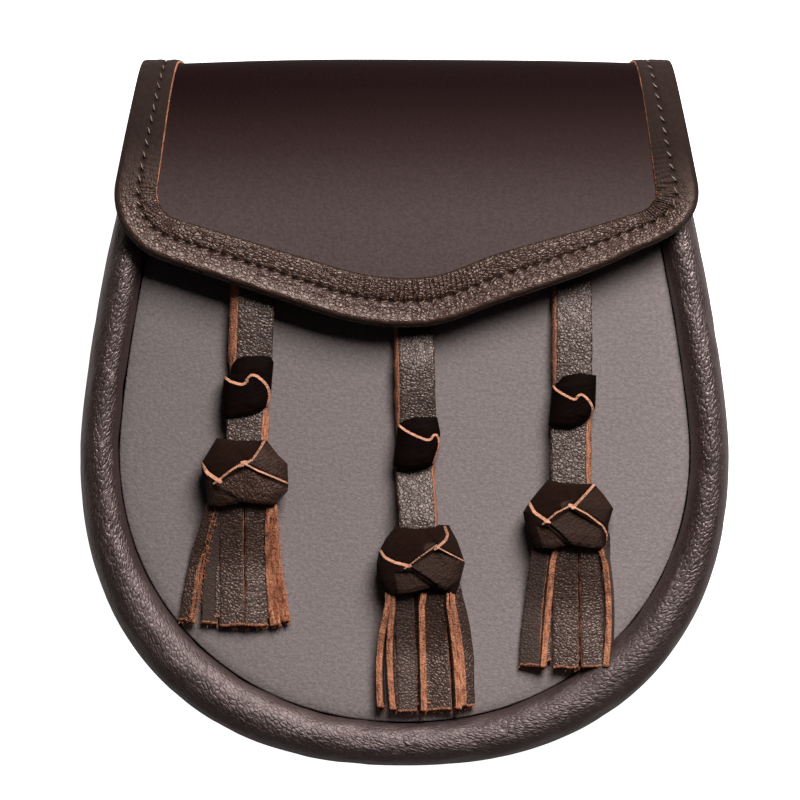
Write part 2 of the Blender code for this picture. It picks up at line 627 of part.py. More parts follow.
def make_everything():
    remove_everything()
    make_back_panel()
    make_front_panel()
    make_rim_roll()
    make_gusset()
    make_flap()
    make_flap_binding()
    make_snap_closure()
    make_belt_loop("belt_loop_left", -LOOP_X)
    make_belt_loop("belt_loop_right", LOOP_X)
    for strap in STRAPS:
        small_knot, tassel_knot = SMALL_KNOTS[strap.side], TASSEL_KNOTS[strap.side]
        lean = max(abs(strap.upper_lean), abs(strap.lower_lean))
        strap_hole = (STRAP_WIDTH + 2 * lean + 3 * GAP, STRAP_THICKNESS + 6 * GAP)
        head_hole = (tassel_knot.x, HEAD_WIDTH + 8 * GAP, HEAD_DEPTH + 6 * GAP)
        make_strap(strap, small_knot, tassel_knot)
        make_knot(f"strap_knot_{strap.side}", small_knot, SMALL_KNOT_DEPTH, SMALL_KNOT_FORM,
                  (strap.knot_x, *strap_hole), (strap.knot_x, *strap_hole))
        make_knot(f"tassel_knot_{strap.side}", tassel_knot, TASSEL_KNOT_DEPTH, TASSEL_KNOT_FORM,
                  (strap.end_x, *strap_hole), head_hole)
        make_tassel(f"tassel_{strap.side}", tassel_knot, FRONT_STRIPS[strap.side])


make_everything()
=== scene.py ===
"""A leather sporran pouch: its leathers, stitches, knots and tassels, in the order it is made.

Sizes are in millimetres and are turned to metres where a mesh is written. The pouch lies on its
back: X runs across it, Y from its round bottom to its fold, Z out of its front.
"""

import math
from collections import namedtuple

import bmesh
import bpy
import numpy as np
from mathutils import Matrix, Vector, noise


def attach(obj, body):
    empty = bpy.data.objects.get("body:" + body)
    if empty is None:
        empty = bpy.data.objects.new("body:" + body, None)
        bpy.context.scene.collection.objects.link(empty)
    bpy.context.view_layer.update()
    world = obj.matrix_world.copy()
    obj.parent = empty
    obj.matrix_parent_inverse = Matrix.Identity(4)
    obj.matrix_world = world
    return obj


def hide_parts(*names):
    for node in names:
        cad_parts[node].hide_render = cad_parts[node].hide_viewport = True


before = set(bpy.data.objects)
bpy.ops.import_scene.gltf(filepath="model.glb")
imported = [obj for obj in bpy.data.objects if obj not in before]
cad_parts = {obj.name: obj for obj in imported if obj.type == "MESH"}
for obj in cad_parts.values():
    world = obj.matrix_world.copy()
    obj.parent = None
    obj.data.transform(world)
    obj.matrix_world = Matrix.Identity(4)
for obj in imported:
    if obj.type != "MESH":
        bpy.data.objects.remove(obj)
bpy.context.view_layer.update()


# ---------------------------------------------------------------------------------------------
# Back panel. One flat piece of smooth brown hide, 2.5 mm thick, cut to the pouch's outline.
# The flap starts on it and the belt loops are sewn to it. Its edge is sewn to the gusset.
# ---------------------------------------------------------------------------------------------

MM = 0.001
WIDEST_Y = -10.8
BODY_HALF_WIDTH, BODY_DROP, BODY_ROUNDNESS = 92.5, 90.0, 2.3
TAPER, TAPER_RISE, TAPER_POWER = 19.5, 106.0, 1.42
POUCH_TOP_Y = 84.0
SIDE_STATIONS, LOW_STATIONS = 60, 240
BACK_THICKNESS, BACK_EDGE_INSET, BACK_SLOPE = 2.5, 2.0, 0.052
PANEL_MIDDLE = np.array((0.0, -4.0))
PLATE_STEPS = (1.0, 0.97, 0.9, 0.8, 0.68, 0.55, 0.42, 0.3, 0.18, 0.06)  # rings towards the middle
PLATE_BEVEL = 0.7  # of its rounding, the height of a plate's edge that is cut away
BACK_ROUNDING = 0.5
SMOOTH_HIDE, SMOOTH_WORN = (0.030, 0.018, 0.0155), (0.045, 0.028, 0.024)
CLOUD_SIZE, MOTTLE_SIZE, PORE_SCALE, PORE_DUST = 26.0, 1.1, 0.55, (0.30, 0.26, 0.24, 1)
FINE_GRAIN, SLOW_SWELL = 0.75, 12.0
WHITE_SHEEN, WARM_SHEEN = (1.0, 1.0, 1.0, 1), (1.0, 0.84, 0.77, 1)


def smooth_step(share):
    """A share from 0 to 1, eased at both ends."""
    share = np.clip(share, 0.0, 1.0)
    return share * share * (3 - 2 * share)


def rounded_square(angle, roundness):
    """Points on a square of half width 1 whose corners are rounded off: 2 makes it a circle."""
    across, up = np.cos(angle), np.sin(angle)
    return (np.sign(across) * np.abs(across) ** (2 / roundness),
            np.sign(up) * np.abs(up) ** (2 / roundness))


def outline(half_width, drop, roundness, top_y):
    """The pouch from the front: from its top right corner down, round and up to its top left."""
    side_y = np.linspace(top_y, WIDEST_Y, SIDE_STATIONS, endpoint=False)
    side_x = half_width - TAPER * ((side_y - WIDEST_Y) / TAPER_RISE) ** TAPER_POWER
    across, down = rounded_square(np.linspace(0, math.pi, LOW_STATIONS + 1), roundness)
    x = np.concatenate((side_x, half_width * across, -side_x[::-1]))
    y = np.concatenate((side_y, WIDEST_Y - drop * down, side_y[::-1]))
    return np.stack((x, y), axis=1)


def body_line(inset):
    """The pouch's outline, this far in from its edge."""
    return outline(BODY_HALF_WIDTH - inset, BODY_DROP - inset, BODY_ROUNDNESS, POUCH_TOP_Y)


def back_face_z(y):
    """How high the back's outer face lies. It rises a little towards the top."""
    return BACK_SLOPE * (y - (WIDEST_Y - BODY_DROP + BACK_EDGE_INSET))


def run_along(line):
    """Distance from the start of a line of points to each of them."""
    steps = np.linalg.norm(np.diff(line, axis=0), axis=1)
    return np.concatenate(([0.0], np.cumsum(steps)))


def skin(name, rings, flat, **marks):
    """Skin a stack of rings of points into one closed mesh, with a face over each end.

    flat says where each point lies on the hide, and is kept as the UV map, in mm. It has one
    more column than the rings, for the seam. Each mark is a number at each point, kept as an
    attribute.
    """
    rings = np.asarray(rings, dtype=float)
    rows, columns = rings.shape[:2]
    i, j = np.meshgrid(np.arange(rows - 1), np.arange(columns), indexing="ij")
    next_j = (j + 1) % columns
    corners = np.stack((i * columns + j, i * columns + next_j,
                        (i + 1) * columns + next_j, (i + 1) * columns + j), axis=-1)
    faces = corners.reshape(-1, 4).tolist()
    faces.append(list(range(columns))[::-1])
    faces.append(list(range((rows - 1) * columns, rows * columns)))
    laid = np.stack((flat[i, j], flat[i, j + 1], flat[i + 1, j + 1], flat[i + 1, j]), axis=2)
    laid = np.concatenate((laid.reshape(-1, 2), flat[0, :-1][::-1], flat[-1, :-1]))
    mesh = bpy.data.meshes.new(name)
    mesh.from_pydata((rings.reshape(-1, 3) * MM).tolist(), [], faces)
    mesh.uv_layers.new(name="hide").data.foreach_set("uv", laid.ravel())
    for mark, values in marks.items():
        kept = mesh.attributes.new(mark, "FLOAT", "POINT")
        kept.data.foreach_set("value", np.asarray(values, dtype=float).ravel())
    turn_outwards(mesh)
    mesh.shade_smooth()
    return set_out(name, mesh)


def set_out(name, data):
    """Put a mesh, a lamp or a camera into the scene."""
    thing = bpy.data.objects.new(name, data)
    bpy.context.scene.collection.objects.link(thing)
    return thing


def front_view(rings):
    """Where each point of the rings lies seen from the front, as a flat layout for skin."""
    return np.concatenate((rings[:, :, :2], rings[:, :1, :2]), axis=1)


def turn_outwards(mesh):
    """Turn every face of a closed mesh to the outside."""
    shape = bmesh.new()
    shape.from_mesh(mesh)
    bmesh.ops.recalc_face_normals(shape, faces=shape.faces[:])
    shape.to_mesh(mesh)
    shape.free()


def fit(piece, finish, slot, *nodes):
    """Give a piece its finish, and put it on the pouch in place of its plain solids."""
    piece.data.materials.append(finish)
    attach(piece, "root")
    if nodes:
        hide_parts(*nodes)


def wire(tree, socket, value):
    """Link a socket to another one, or set it to a plain value."""
    if isinstance(value, bpy.types.NodeSocket):
        tree.links.new(value, socket)
    else:
        socket.default_value = value


def place(tree, kind, inputs=None, **settings):
    """Add a node of this kind, with its inputs linked or set by name, and its own settings."""
    made = tree.nodes.new(kind)
    for name, value in settings.items():
        setattr(made, name, value)
    for name, value in (inputs or {}).items():
        wire(tree, made.inputs[name], value)
    return made


def sum_up(tree, operation, *values):
    """One step of arithmetic on values of a tree."""
    made = place(tree, "ShaderNodeMath", operation=operation)
    for socket, value in zip(made.inputs, values):
        wire(tree, socket, value)
    return made.outputs[0]


def spread(tree, value, low, high, to_low=0.0, to_high=1.0):
    """Map a value from one range to another, eased at both ends."""
    inputs = {"Value": value, "From Min": low, "From Max": high, "To Min": to_low, "To Max": to_high}
    return place(tree, "ShaderNodeMapRange", inputs, interpolation_type="SMOOTHSTEP").outputs[0]


def blend_colours(tree, share, first, second, way="MIX"):
    """The first colour where share is 0, and where it is 1 the second, laid on in this way."""
    made = place(tree, "ShaderNodeMix", data_type="RGBA", blend_type=way, clamp_factor=True)
    for number, value in ((0, share), (6, first), (7, second)):
        wire(tree, made.inputs[number], value)
    return made.outputs[2]


def speckle(tree, where, size, detail=3.0, roughness=0.55):
    """Soft noise whose lumps are about size millimetres across."""
    inputs = {"Vector": where, "Scale": 1 / size, "Detail": detail, "Roughness": roughness}
    return place(tree, "ShaderNodeTexNoise", inputs).outputs["Fac"]


def scaled(tree, where, factor):
    """A vector or colour times a factor."""
    made = place(tree, "ShaderNodeVectorMath", {"Vector": where}, operation="SCALE")
    wire(tree, made.inputs["Scale"], factor)
    return made.outputs[0]


def start_group(name, inputs, outputs, kind="ShaderNodeTree"):
    """A node group with named sockets, given as name: kind. It comes with its two ends."""
    group = bpy.data.node_groups.new(name, kind)
    for way, sockets in (("INPUT", inputs), ("OUTPUT", outputs)):
        for label, sort in sockets.items():
            group.interface.new_socket(name=label, in_out=way, socket_type=f"NodeSocket{sort}")
    return group, group.nodes.new("NodeGroupInput").outputs, group.nodes.new("NodeGroupOutput").inputs


def use_group(tree, group, inputs):
    """Put a node group into a tree, and give its outputs."""
    return place(tree, "ShaderNodeGroup", inputs, node_tree=group).outputs


def start_finish(name, gloss=0.5, sheen=WHITE_SHEEN):
    """A new material: its tree, its shader's inputs and object coordinates in millimetres."""
    finish = bpy.data.materials.new(name)
    finish.use_nodes = True
    tree = finish.node_tree
    shader = tree.nodes["Principled BSDF"].inputs
    shader["Specular IOR Level"].default_value = gloss
    shader["Specular Tint"].default_value = sheen
    where = place(tree, "ShaderNodeTexCoord").outputs["Object"]
    return finish, tree, shader, scaled(tree, where, 1 / MM)


def emboss(tree, shader, height, depth, strength=1.0):
    """Bump the surface by a height from 0 to 1, this many mm deep."""
    inputs = {"Height": height, "Strength": strength, "Distance": depth * MM}
    wire(tree, shader["Normal"], place(tree, "ShaderNodeBump", inputs).outputs[0])


# Tone of a hide: cloudy patches, a finer mottle, and pale specks of dust and pores.
hide_tone, taken, given = start_group(
    "hide tone",
    {"Place": "Vector", "Hide": "Color", "Worn": "Color", "Cloud": "Float", "Specks": "Float"},
    {"Color": "Color", "Mottle": "Float"},
)
clouds = spread(hide_tone, speckle(hide_tone, taken["Place"], CLOUD_SIZE, 4.0), 0.34, 0.68)
mottle = speckle(hide_tone, taken["Place"], MOTTLE_SIZE, 5.0, 0.68)
share = sum_up(hide_tone, "MULTIPLY", clouds, taken["Cloud"])
toned = blend_colours(hide_tone, share, taken["Hide"], taken["Worn"])
toned = scaled(hide_tone, toned, spread(hide_tone, mottle, 0.36, 0.66, 0.87, 1.13))
pores = place(hide_tone, "ShaderNodeTexVoronoi", {"Vector": taken["Place"], "Scale": PORE_SCALE})
dots = spread(hide_tone, pores.outputs["Distance"], 0.10, 0.04)
dots = sum_up(hide_tone, "MULTIPLY", dots, taken["Specks"])
wire(hide_tone, given["Color"], blend_colours(hide_tone, dots, toned, PORE_DUST))
wire(hide_tone, given["Mottle"], mottle)


def smooth_finish(name, hide, worn, roughness, bump, gloss=0.4, tone_and_light=(), tone_and_light_way=(0.0, 1.0, 0.0)):
    """Smooth, waxed hide: a faint fine grain and a satin gloss.

    A row of (distance along a way in mm, tint) can multiply its colour over the piece. It paints
    light and shade onto it, with the hide's own tone where the tints carry it.
    """
    finish, tree, shader, where = start_finish(name, gloss, WARM_SHEEN)
    tone = use_group(tree, hide_tone, {
        "Place": where, "Hide": (*hide, 1), "Worn": (*worn, 1), "Cloud": 0.4, "Specks": 0.2,
    })
    colour = tone["Color"]
    # The ramp of tints paints light and shade over the piece.
    if tone_and_light:
        first, last = tone_and_light[0][0], tone_and_light[-1][0]
        along = place(tree, "ShaderNodeVectorMath", {0: where, 1: tone_and_light_way}, operation="DOT_PRODUCT")
        share = place(tree, "ShaderNodeMapRange",
                      {"Value": along.outputs["Value"], "From Min": first, "From Max": last})
        ramp = place(tree, "ShaderNodeValToRGB", {"Fac": share.outputs[0]})
        while len(ramp.color_ramp.elements) < len(tone_and_light):
            ramp.color_ramp.elements.new(0.5)
        for stop, (at, tint) in zip(ramp.color_ramp.elements, tone_and_light):
            stop.position = (at - first) / (last - first)
            stop.color = (*tint, 1)
        colour = blend_colours(tree, 1.0, colour, ramp.outputs[0], "MULTIPLY")
    wire(tree, shader["Base Color"], colour)
    rough = spread(tree, tone["Mottle"], 0.3, 0.7, roughness - 0.04, roughness + 0.06)
    wire(tree, shader["Roughness"], rough)
    grain, swell = speckle(tree, where, FINE_GRAIN, 3.0, 0.6), speckle(tree, where, SLOW_SWELL, 2.0)
    emboss(tree, shader, sum_up(tree, "ADD", grain, swell), bump)
    return finish


def plate(name, edge, low_z, high_z, rounding):
    """A flat panel with rounded edges. low_z and high_z give its faces' heights at each point."""
    def face(height_of, step):
        points = PANEL_MIDDLE + (edge - PANEL_MIDDLE) * step
        inner = PANEL_MIDDLE + (points - PANEL_MIDDLE) * (1 - rounding / BODY_HALF_WIDTH)
        return np.column_stack((inner, height_of(inner, step)))

    rings = [face(low_z, step) for step in PLATE_STEPS[::-1]]
    rings.append(np.column_stack((edge, low_z(edge, 1.0) + rounding * PLATE_BEVEL)))
    rings.append(np.column_stack((edge, high_z(edge, 1.0) - rounding * PLATE_BEVEL)))
    rings = np.array(rings + [face(high_z, step) for step in PLATE_STEPS])
    return skin(name, rings, front_view(rings))


plain_hide = smooth_finish("smooth brown hide", SMOOTH_HIDE, SMOOTH_WORN, roughness=0.46, bump=0.12)
back_panel = plate(
    "back_panel_leather", body_line(BACK_EDGE_INSET),
    lambda points, step: back_face_z(points[:, 1]),
    lambda points, step: back_face_z(points[:, 1]) + BACK_THICKNESS, BACK_ROUNDING,
)
fit(back_panel, plain_hide, "panel_leather", "back_panel")


# ---------------------------------------------------------------------------------------------
# Gusset. The pouch's side wall, a strip of the same hide sewn round the sides and bottom between
# the back panel and the rim. It bows out a little, and the pouch is open at its top.
# ---------------------------------------------------------------------------------------------

GUSSET_THICKNESS, GUSSET_LEVELS = 2.0, 9
GUSSET_FOOT_INSET, GUSSET_BULGE_INSET, GUSSET_HEAD_INSET = 3.4, 2.2, 3.0
GUSSET_BUCKLE, GUSSET_HEIGHT = 0.25, 20.0
ROLL_FOOT_Z, ROLL_HALF_HEIGHT = 26.0, 6.0
ROLL_TOP_HALF_HEIGHT, ROLL_THINNING_Y = 4.5, 45.0
PANEL_HALF_WIDTH, PANEL_DROP, PANEL_ROUNDNESS = 81.5, 77.8, 2.1
SEAM_GAP = 0.3


def roll_half_height(y):
    """Half the rim roll's depth. The roll is thinner near its upper ends."""
    thinner = smooth_step((y - ROLL_THINNING_Y) / (POUCH_TOP_Y - ROLL_THINNING_Y))
    return ROLL_HALF_HEIGHT - (ROLL_HALF_HEIGHT - ROLL_TOP_HALF_HEIGHT) * thinner


def gusset_wall(wall):
    """One face of the gusset: rows from the foot to the head, columns along the pouch's edge."""
    foot_line = body_line(GUSSET_FOOT_INSET + wall)
    foot_z = back_face_z(foot_line[:, 1]) + BACK_THICKNESS + SEAM_GAP
    across = 1 - (GUSSET_HEAD_INSET + wall) * 2 / (BODY_HALF_WIDTH - PANEL_HALF_WIDTH)
    half_height = roll_half_height(foot_line[:, 1])
    head_z = ROLL_FOOT_Z + half_height * (1 - math.sqrt(1 - across * across)) - SEAM_GAP
    face = []
    for share in np.linspace(0, 1, GUSSET_LEVELS):
        ends = GUSSET_FOOT_INSET + (GUSSET_HEAD_INSET - GUSSET_FOOT_INSET) * share
        out = 1 - (2 * share - 1) ** 2
        inset = ends + (GUSSET_BULGE_INSET - ends) * out
        line = body_line(inset + wall)
        buckle = GUSSET_BUCKLE * out * np.sin(line[:, 0] * 0.21 + 1.3 * np.sin(line[:, 1] * 0.13))
        line = line * (1 - buckle / BODY_HALF_WIDTH)[:, None]
        face.append(np.column_stack((line, foot_z + (head_z - foot_z) * share)))
    return face


outside, inside = gusset_wall(0.0), gusset_wall(GUSSET_THICKNESS)
rings = np.array(outside + inside[::-1]).transpose(1, 0, 2)
length = run_along(body_line(0.0))
climb = np.linspace(0, GUSSET_HEIGHT, GUSSET_LEVELS)
turn_in = GUSSET_HEIGHT + GUSSET_THICKNESS
height = np.concatenate((climb, climb + turn_in, [2 * turn_in]))
flat = np.stack(np.meshgrid(length, height, indexing="ij"), axis=-1)
gusset = skin("gusset_leather", rings, flat)
fit(gusset, plain_hide, "panel_leather", "gusset")


# ---------------------------------------------------------------------------------------------
# Front panel. Smooth, dull hide with pale specks of dust. Its colour is painted pale and greyish
# as a sheen, and painted lighter towards its lower right. It is sewn in behind the rim all round,
# so that its edge dips where the rim presses on it. The straps and tassels lie on it.
# ---------------------------------------------------------------------------------------------

PANEL_FACE_Z, PANEL_THICKNESS, PANEL_TOP_Y = 33.0, 2.0, 80.0
PANEL_EDGE_DIP, PANEL_DIP_POWER, PANEL_ROUNDING = 0.7, 30, 0.4
# The hide's colours are dark brown painted pale and greyish with a painted sheen.
PANEL_SHEEN_HIDE, PANEL_SHEEN_WORN = (0.172, 0.142, 0.138), (0.182, 0.151, 0.147)
# Painted light and shade: the colour is scaled darker towards the upper left, lighter to the lower right.
PANEL_PAINTED_LIGHT, PANEL_PAINTED_LIGHT_WAY = ((-90, (0.82, 0.82, 0.82)), (90, (1.48, 1.48, 1.48))), (0.49, -0.87, 0.0)

front_edge = outline(PANEL_HALF_WIDTH - SEAM_GAP, PANEL_DROP - SEAM_GAP, PANEL_ROUNDNESS, PANEL_TOP_Y)
front_panel = plate(
    "front_panel_leather", front_edge,
    lambda points, step: np.full(len(points), PANEL_FACE_Z - PANEL_THICKNESS),
    lambda points, step: np.full(len(points), PANEL_FACE_Z - PANEL_EDGE_DIP * step**PANEL_DIP_POWER),
    PANEL_ROUNDING,
)
panel_sheen_hide = smooth_finish("brown hide with painted sheen", PANEL_SHEEN_HIDE, PANEL_SHEEN_WORN, roughness=0.6, bump=0.22,
                           gloss=0.1, tone_and_light=PANEL_PAINTED_LIGHT, tone_and_light_way=PANEL_PAINTED_LIGHT_WAY)
fit(front_panel, panel_sheen_hide, "panel_leather", "front_panel")


# ---------------------------------------------------------------------------------------------
# Rim roll. A tube of grained hide over a firm filling, sewn round the front panel. The hide is
# stretched over the roll, so its grain is drawn out along it and creases where the roll turns.
# ---------------------------------------------------------------------------------------------

ROLL_AROUND, ROLL_RADIUS, ROLL_TWIST = 48, 5.8, 6.0
ROLL_WAVE, ROLL_CREASE, CREST_TURN, CREST_REACH = 0.22, 0.16, 0.05, 0.80
ROLL_LOW_SHADE, ROLL_LOW_SHADE_Y, ROLL_LOW_SHADE_REACH = 0.20, -36.0, 40.0
RAW_DARK, RAW_LIGHT = (0.15, 0.034, 0.011, 1), (0.60, 0.225, 0.112, 1)
RIM_HIDE, RIM_WORN = (0.0165, 0.0064, 0.0054), (0.0250, 0.0120, 0.0105)
RIM_SHEEN, RUSSET_SHEEN = (1.0, 0.79, 0.76, 1), (1.0, 0.79, 0.71, 1)
DEEP_SHADE = (0.0070, 0.0016, 0.0006, 1)


def drawn_out(tree, where, scale, slant=0.0):
    """Places whose pattern is drawn out by these factors, and turned."""
    inputs = {"Vector": where, "Scale": scale, "Rotation": (0.0, 0.0, slant)}
    return place(tree, "ShaderNodeMapping", inputs, vector_type="TEXTURE").outputs[0]


# Pebbled grain: low, uneven cells parted by fine valleys. Each cell leans its own way, so that
# some catch the light as a whole and their neighbours stay dark.
pebble, taken, given = start_group("pebbled grain", {"Place": "Vector", "Cell": "Float", "Warp": "Float"},
                                   {"Height": "Float", "Valley": "Float"})
where = scaled(pebble, taken["Place"], sum_up(pebble, "DIVIDE", 1.0, taken["Cell"]))
bend_by = place(pebble, "ShaderNodeTexNoise", {"Vector": where, "Scale": 0.8, "Detail": 2.0})
bend_by = scaled(pebble, bend_by.outputs["Color"], taken["Warp"])
where = place(pebble, "ShaderNodeVectorMath", {0: where, 1: bend_by}, operation="ADD").outputs[0]
cells = place(pebble, "ShaderNodeTexVoronoi", {"Vector": where, "Scale": 1.0, "Smoothness": 0.25},
              feature="SMOOTH_F1").outputs
cracks = place(pebble, "ShaderNodeTexVoronoi", {"Vector": where, "Scale": 1.0},
               feature="DISTANCE_TO_EDGE").outputs["Distance"]
leaning = place(pebble, "ShaderNodeVectorMath", {0: cells["Color"], 1: (0.5, 0.5, 0.5)},
                operation="SUBTRACT")
away = place(pebble, "ShaderNodeVectorMath", {0: where, 1: cells["Position"]}, operation="SUBTRACT")
lean = place(pebble, "ShaderNodeVectorMath", {0: leaning.outputs[0], 1: away.outputs[0]},
             operation="DOT_PRODUCT").outputs["Value"]
flank = spread(pebble, cracks, 0.0, 0.30)
uneven = place(pebble, "ShaderNodeTexNoise", {"Vector": where, "Scale": 0.9, "Detail": 2.0}).outputs["Fac"]
height = sum_up(pebble, "MULTIPLY_ADD", lean, 1.15, sum_up(pebble, "MULTIPLY", flank, 0.50))
height = sum_up(pebble, "MULTIPLY_ADD", uneven, 0.45, height)
wire(pebble, given["Height"], height)
wire(pebble, given["Valley"], spread(pebble, cracks, 0.01, 0.15, 1.0, 0.0))

# Cut edge: where the mark called cut is high the hide's raw, fibrous orange core shows.
raw_core, taken, given = start_group("raw core", {"Place": "Vector", "Cut": "Float"},
                                     {"Color": "Color", "Shows": "Float", "Height": "Float"})
ragged = speckle(raw_core, taken["Place"], 0.45, 4.0, 0.7)
edge = sum_up(raw_core, "ADD", taken["Cut"], sum_up(raw_core, "MULTIPLY", ragged, 0.5))
wire(raw_core, given["Shows"], spread(raw_core, edge, 0.72, 0.86))
fibres = drawn_out(raw_core, taken["Place"], (4.5, 1.0, 1.0))
tufts = spread(raw_core, speckle(raw_core, fibres, 0.8, 4.0, 0.7), 0.28, 0.62)
wire(raw_core, given["Color"], blend_colours(raw_core, tufts, RAW_DARK, RAW_LIGHT))
wire(raw_core, given["Height"], sum_up(raw_core, "MULTIPLY", tufts, 1.2))


def hide_marks(tree):
    """The hide's flat layout, and its marks called cut and grain, and its mark for painted shade."""
    where = place(tree, "ShaderNodeUVMap", uv_map="hide").outputs[0]
    return where, *(place(tree, "ShaderNodeAttribute", attribute_name=mark).outputs["Fac"]
                    for mark in ("cut", "grain", "crease"))


def grained_finish(name, hide, worn, cell, depth, roughness, gloss, stretch=1.0, slant=0.0, index=1.5,
                   sheen=WARM_SHEEN):
    """Pebbled hide with its raw core on the cut edges.

    Stretch draws the grain out, slant turns it off the hide's length. The mark called grain says
    how deep it is there, and the mark for painted shade how far painted shade darkens and dulls it.
    The grain's valleys get painted shade too.
    """
    finish, tree, shader, _ = start_finish(name, gloss, sheen)
    shader["IOR"].default_value = index
    where, cut, grained, creased = hide_marks(tree)
    drawn = drawn_out(tree, where, (stretch, 1.0, 1.0), slant)
    grain = use_group(tree, pebble, {"Place": drawn, "Cell": cell, "Warp": 0.5})
    tone = use_group(tree, hide_tone, {
        "Place": drawn, "Hide": (*hide, 1), "Worn": (*worn, 1), "Cloud": 0.6, "Specks": 0.0,
    })
    # Painted shade: the grain's valleys and the mark for painted shade darken the colour towards
    # DEEP_SHADE.
    dark = sum_up(tree, "MULTIPLY", grain["Valley"], sum_up(tree, "MULTIPLY", grained, 0.75))
    dark = sum_up(tree, "MAXIMUM", dark, creased)
    darker = blend_colours(tree, dark, tone["Color"], DEEP_SHADE)
    core = use_group(tree, raw_core, {"Place": where, "Cut": cut})
    wire(tree, shader["Base Color"], blend_colours(tree, core["Shows"], darker, core["Color"]))
    rough = spread(tree, tone["Mottle"], 0.3, 0.7, roughness - 0.05, roughness + 0.06)
    rough = sum_up(tree, "MULTIPLY_ADD", creased, 1.0 - roughness, rough)
    rough = sum_up(tree, "MAXIMUM", rough, sum_up(tree, "MULTIPLY", core["Shows"], 0.9))
    wire(tree, shader["Roughness"], rough)
    height = sum_up(tree, "MULTIPLY", grain["Height"], grained)
    height = sum_up(tree, "MULTIPLY_ADD", speckle(tree, drawn, 3.2, 2.0), 0.6, height)
    height = sum_up(tree, "ADD", height, sum_up(tree, "MULTIPLY", core["Height"], core["Shows"]))
    emboss(tree, shader, height, depth)
    return finish


def ripple(points, size, seed=0.0):
    """Smooth noise from -1 to 1 at each point, with lumps about size mm across."""
    return np.array([noise.noise((x / size, y / size, seed)) for x, y in points]) * 1.6


outer, inner = body_line(0.0), outline(PANEL_HALF_WIDTH, PANEL_DROP, PANEL_ROUNDNESS, POUCH_TOP_Y)
half_height = roll_half_height(outer[:, 1])
length = run_along((outer + inner) / 2)
around = np.linspace(0, math.tau, ROLL_AROUND, endpoint=False)
side = (outer - inner) / np.linalg.norm(outer - inner, axis=1)[:, None]
rings = np.empty((len(outer), ROLL_AROUND, 3))
for i, turn in enumerate(around):
    skewed = np.column_stack((length + ROLL_TWIST * turn, np.full(len(length), ROLL_RADIUS * turn)))
    swell = ROLL_WAVE * ripple(skewed * (0.35, 0.25), 5.0)
    swell = swell + ROLL_CREASE * ripple(skewed * (0.3, 1.0), 2.2, 7.0)
    swell = np.minimum(swell, 0.0) if math.cos(turn) > 0.9 else swell  # its outline stays true
    outward = 0.5 + 0.5 * math.cos(turn)
    rings[:, i, :2] = inner + (outer - inner) * outward + side * (swell * math.cos(turn))[:, None]
    rings[:, i, 2] = ROLL_FOOT_Z + half_height * (1 + math.sin(turn)) + swell * math.sin(turn)
girth = np.append(around, math.tau) * ROLL_RADIUS
flat = np.stack(np.meshgrid(length, girth, indexing="ij"), axis=-1)
crest = np.exp(-(((around - math.pi / 2 - CREST_TURN) / CREST_REACH) ** 2))
grain = np.tile(0.15 + 0.85 * crest, (len(outer), 1))
# Painted shade: towards its bottom the rim is darkened and dulled, which tones down its highlight there.
low_shade = ROLL_LOW_SHADE * smooth_step((ROLL_LOW_SHADE_Y - outer[:, 1]) / ROLL_LOW_SHADE_REACH)
low_shade = np.repeat(low_shade[:, None], ROLL_AROUND, axis=1)
rim_roll = skin("rim_roll_leather", rings, flat, grain=grain, crease=low_shade)
roll_hide = grained_finish("rim grained hide", RIM_HIDE, RIM_WORN, cell=0.84, depth=0.18, roughness=0.455,
                           gloss=1.0, stretch=2.2, slant=0.4, index=1.70, sheen=RIM_SHEEN)
fit(rim_roll, roll_hide, "grained_leather", "rim_roll")


# ---------------------------------------------------------------------------------------------
# Flap. Smooth waxed hide, cut flat and bent from the back panel over the pouch's top. Its edge
# is covered by the binding, so what shows is the smooth middle, a little crowned from side to side.
# ---------------------------------------------------------------------------------------------

FLAP_THICKNESS, FLAP_CENTRE_X = 2.4, 0.6
FLAP_BACK_Y, FLAP_FOLD_Y, FLAP_TOP_Y = 64.0, 79.4, 100.8
FLAP_CREST_Y, FLAP_FRONT_ROUNDNESS, FLAP_BACK_ROUNDNESS = 52.0, 2.0, 2.6
FLAP_FRONT_Z, FLAP_POINT_FALL, FLAP_FALL_POWER, FLAP_CROWN = 43.2, 3.3, 1.6, 2.0
FLAP_CORNER_X, FLAP_CORNER_Y, FLAP_POINT_Y, FLAP_SIDE_LEAN = 86.0, 48.7, 20.3, 0.19
FLAP_CORNER_RADIUS, FLAP_POINT_RADIUS, FLAP_BACK_RADIUS = 20.0, 78.0, 6.0
RIGHT_LIFT, RIGHT_LIFT_X, RIGHT_LIFT_REACH = 2.2, 4.0, 22.0
CORNER_LIFT, CORNER_LIFT_X, CORNER_LIFT_REACH = 1.9, 72.0, 14.0
LIFT_TOP, LIFT_FADE, SIDE_LIFT_X, SIDE_LIFT_REACH = 66.0, 24.0, 50.0, 25.0
FLAP_SAG = 0.12
FLAP_ROWS, FLAP_COLUMNS = 150, 72
BINDING_EDGE = 2.0
FRONT_SAMPLES, BEND_SAMPLES, BACK_SAMPLES = 40, 80, 9
SLOPE_REACH = 0.5


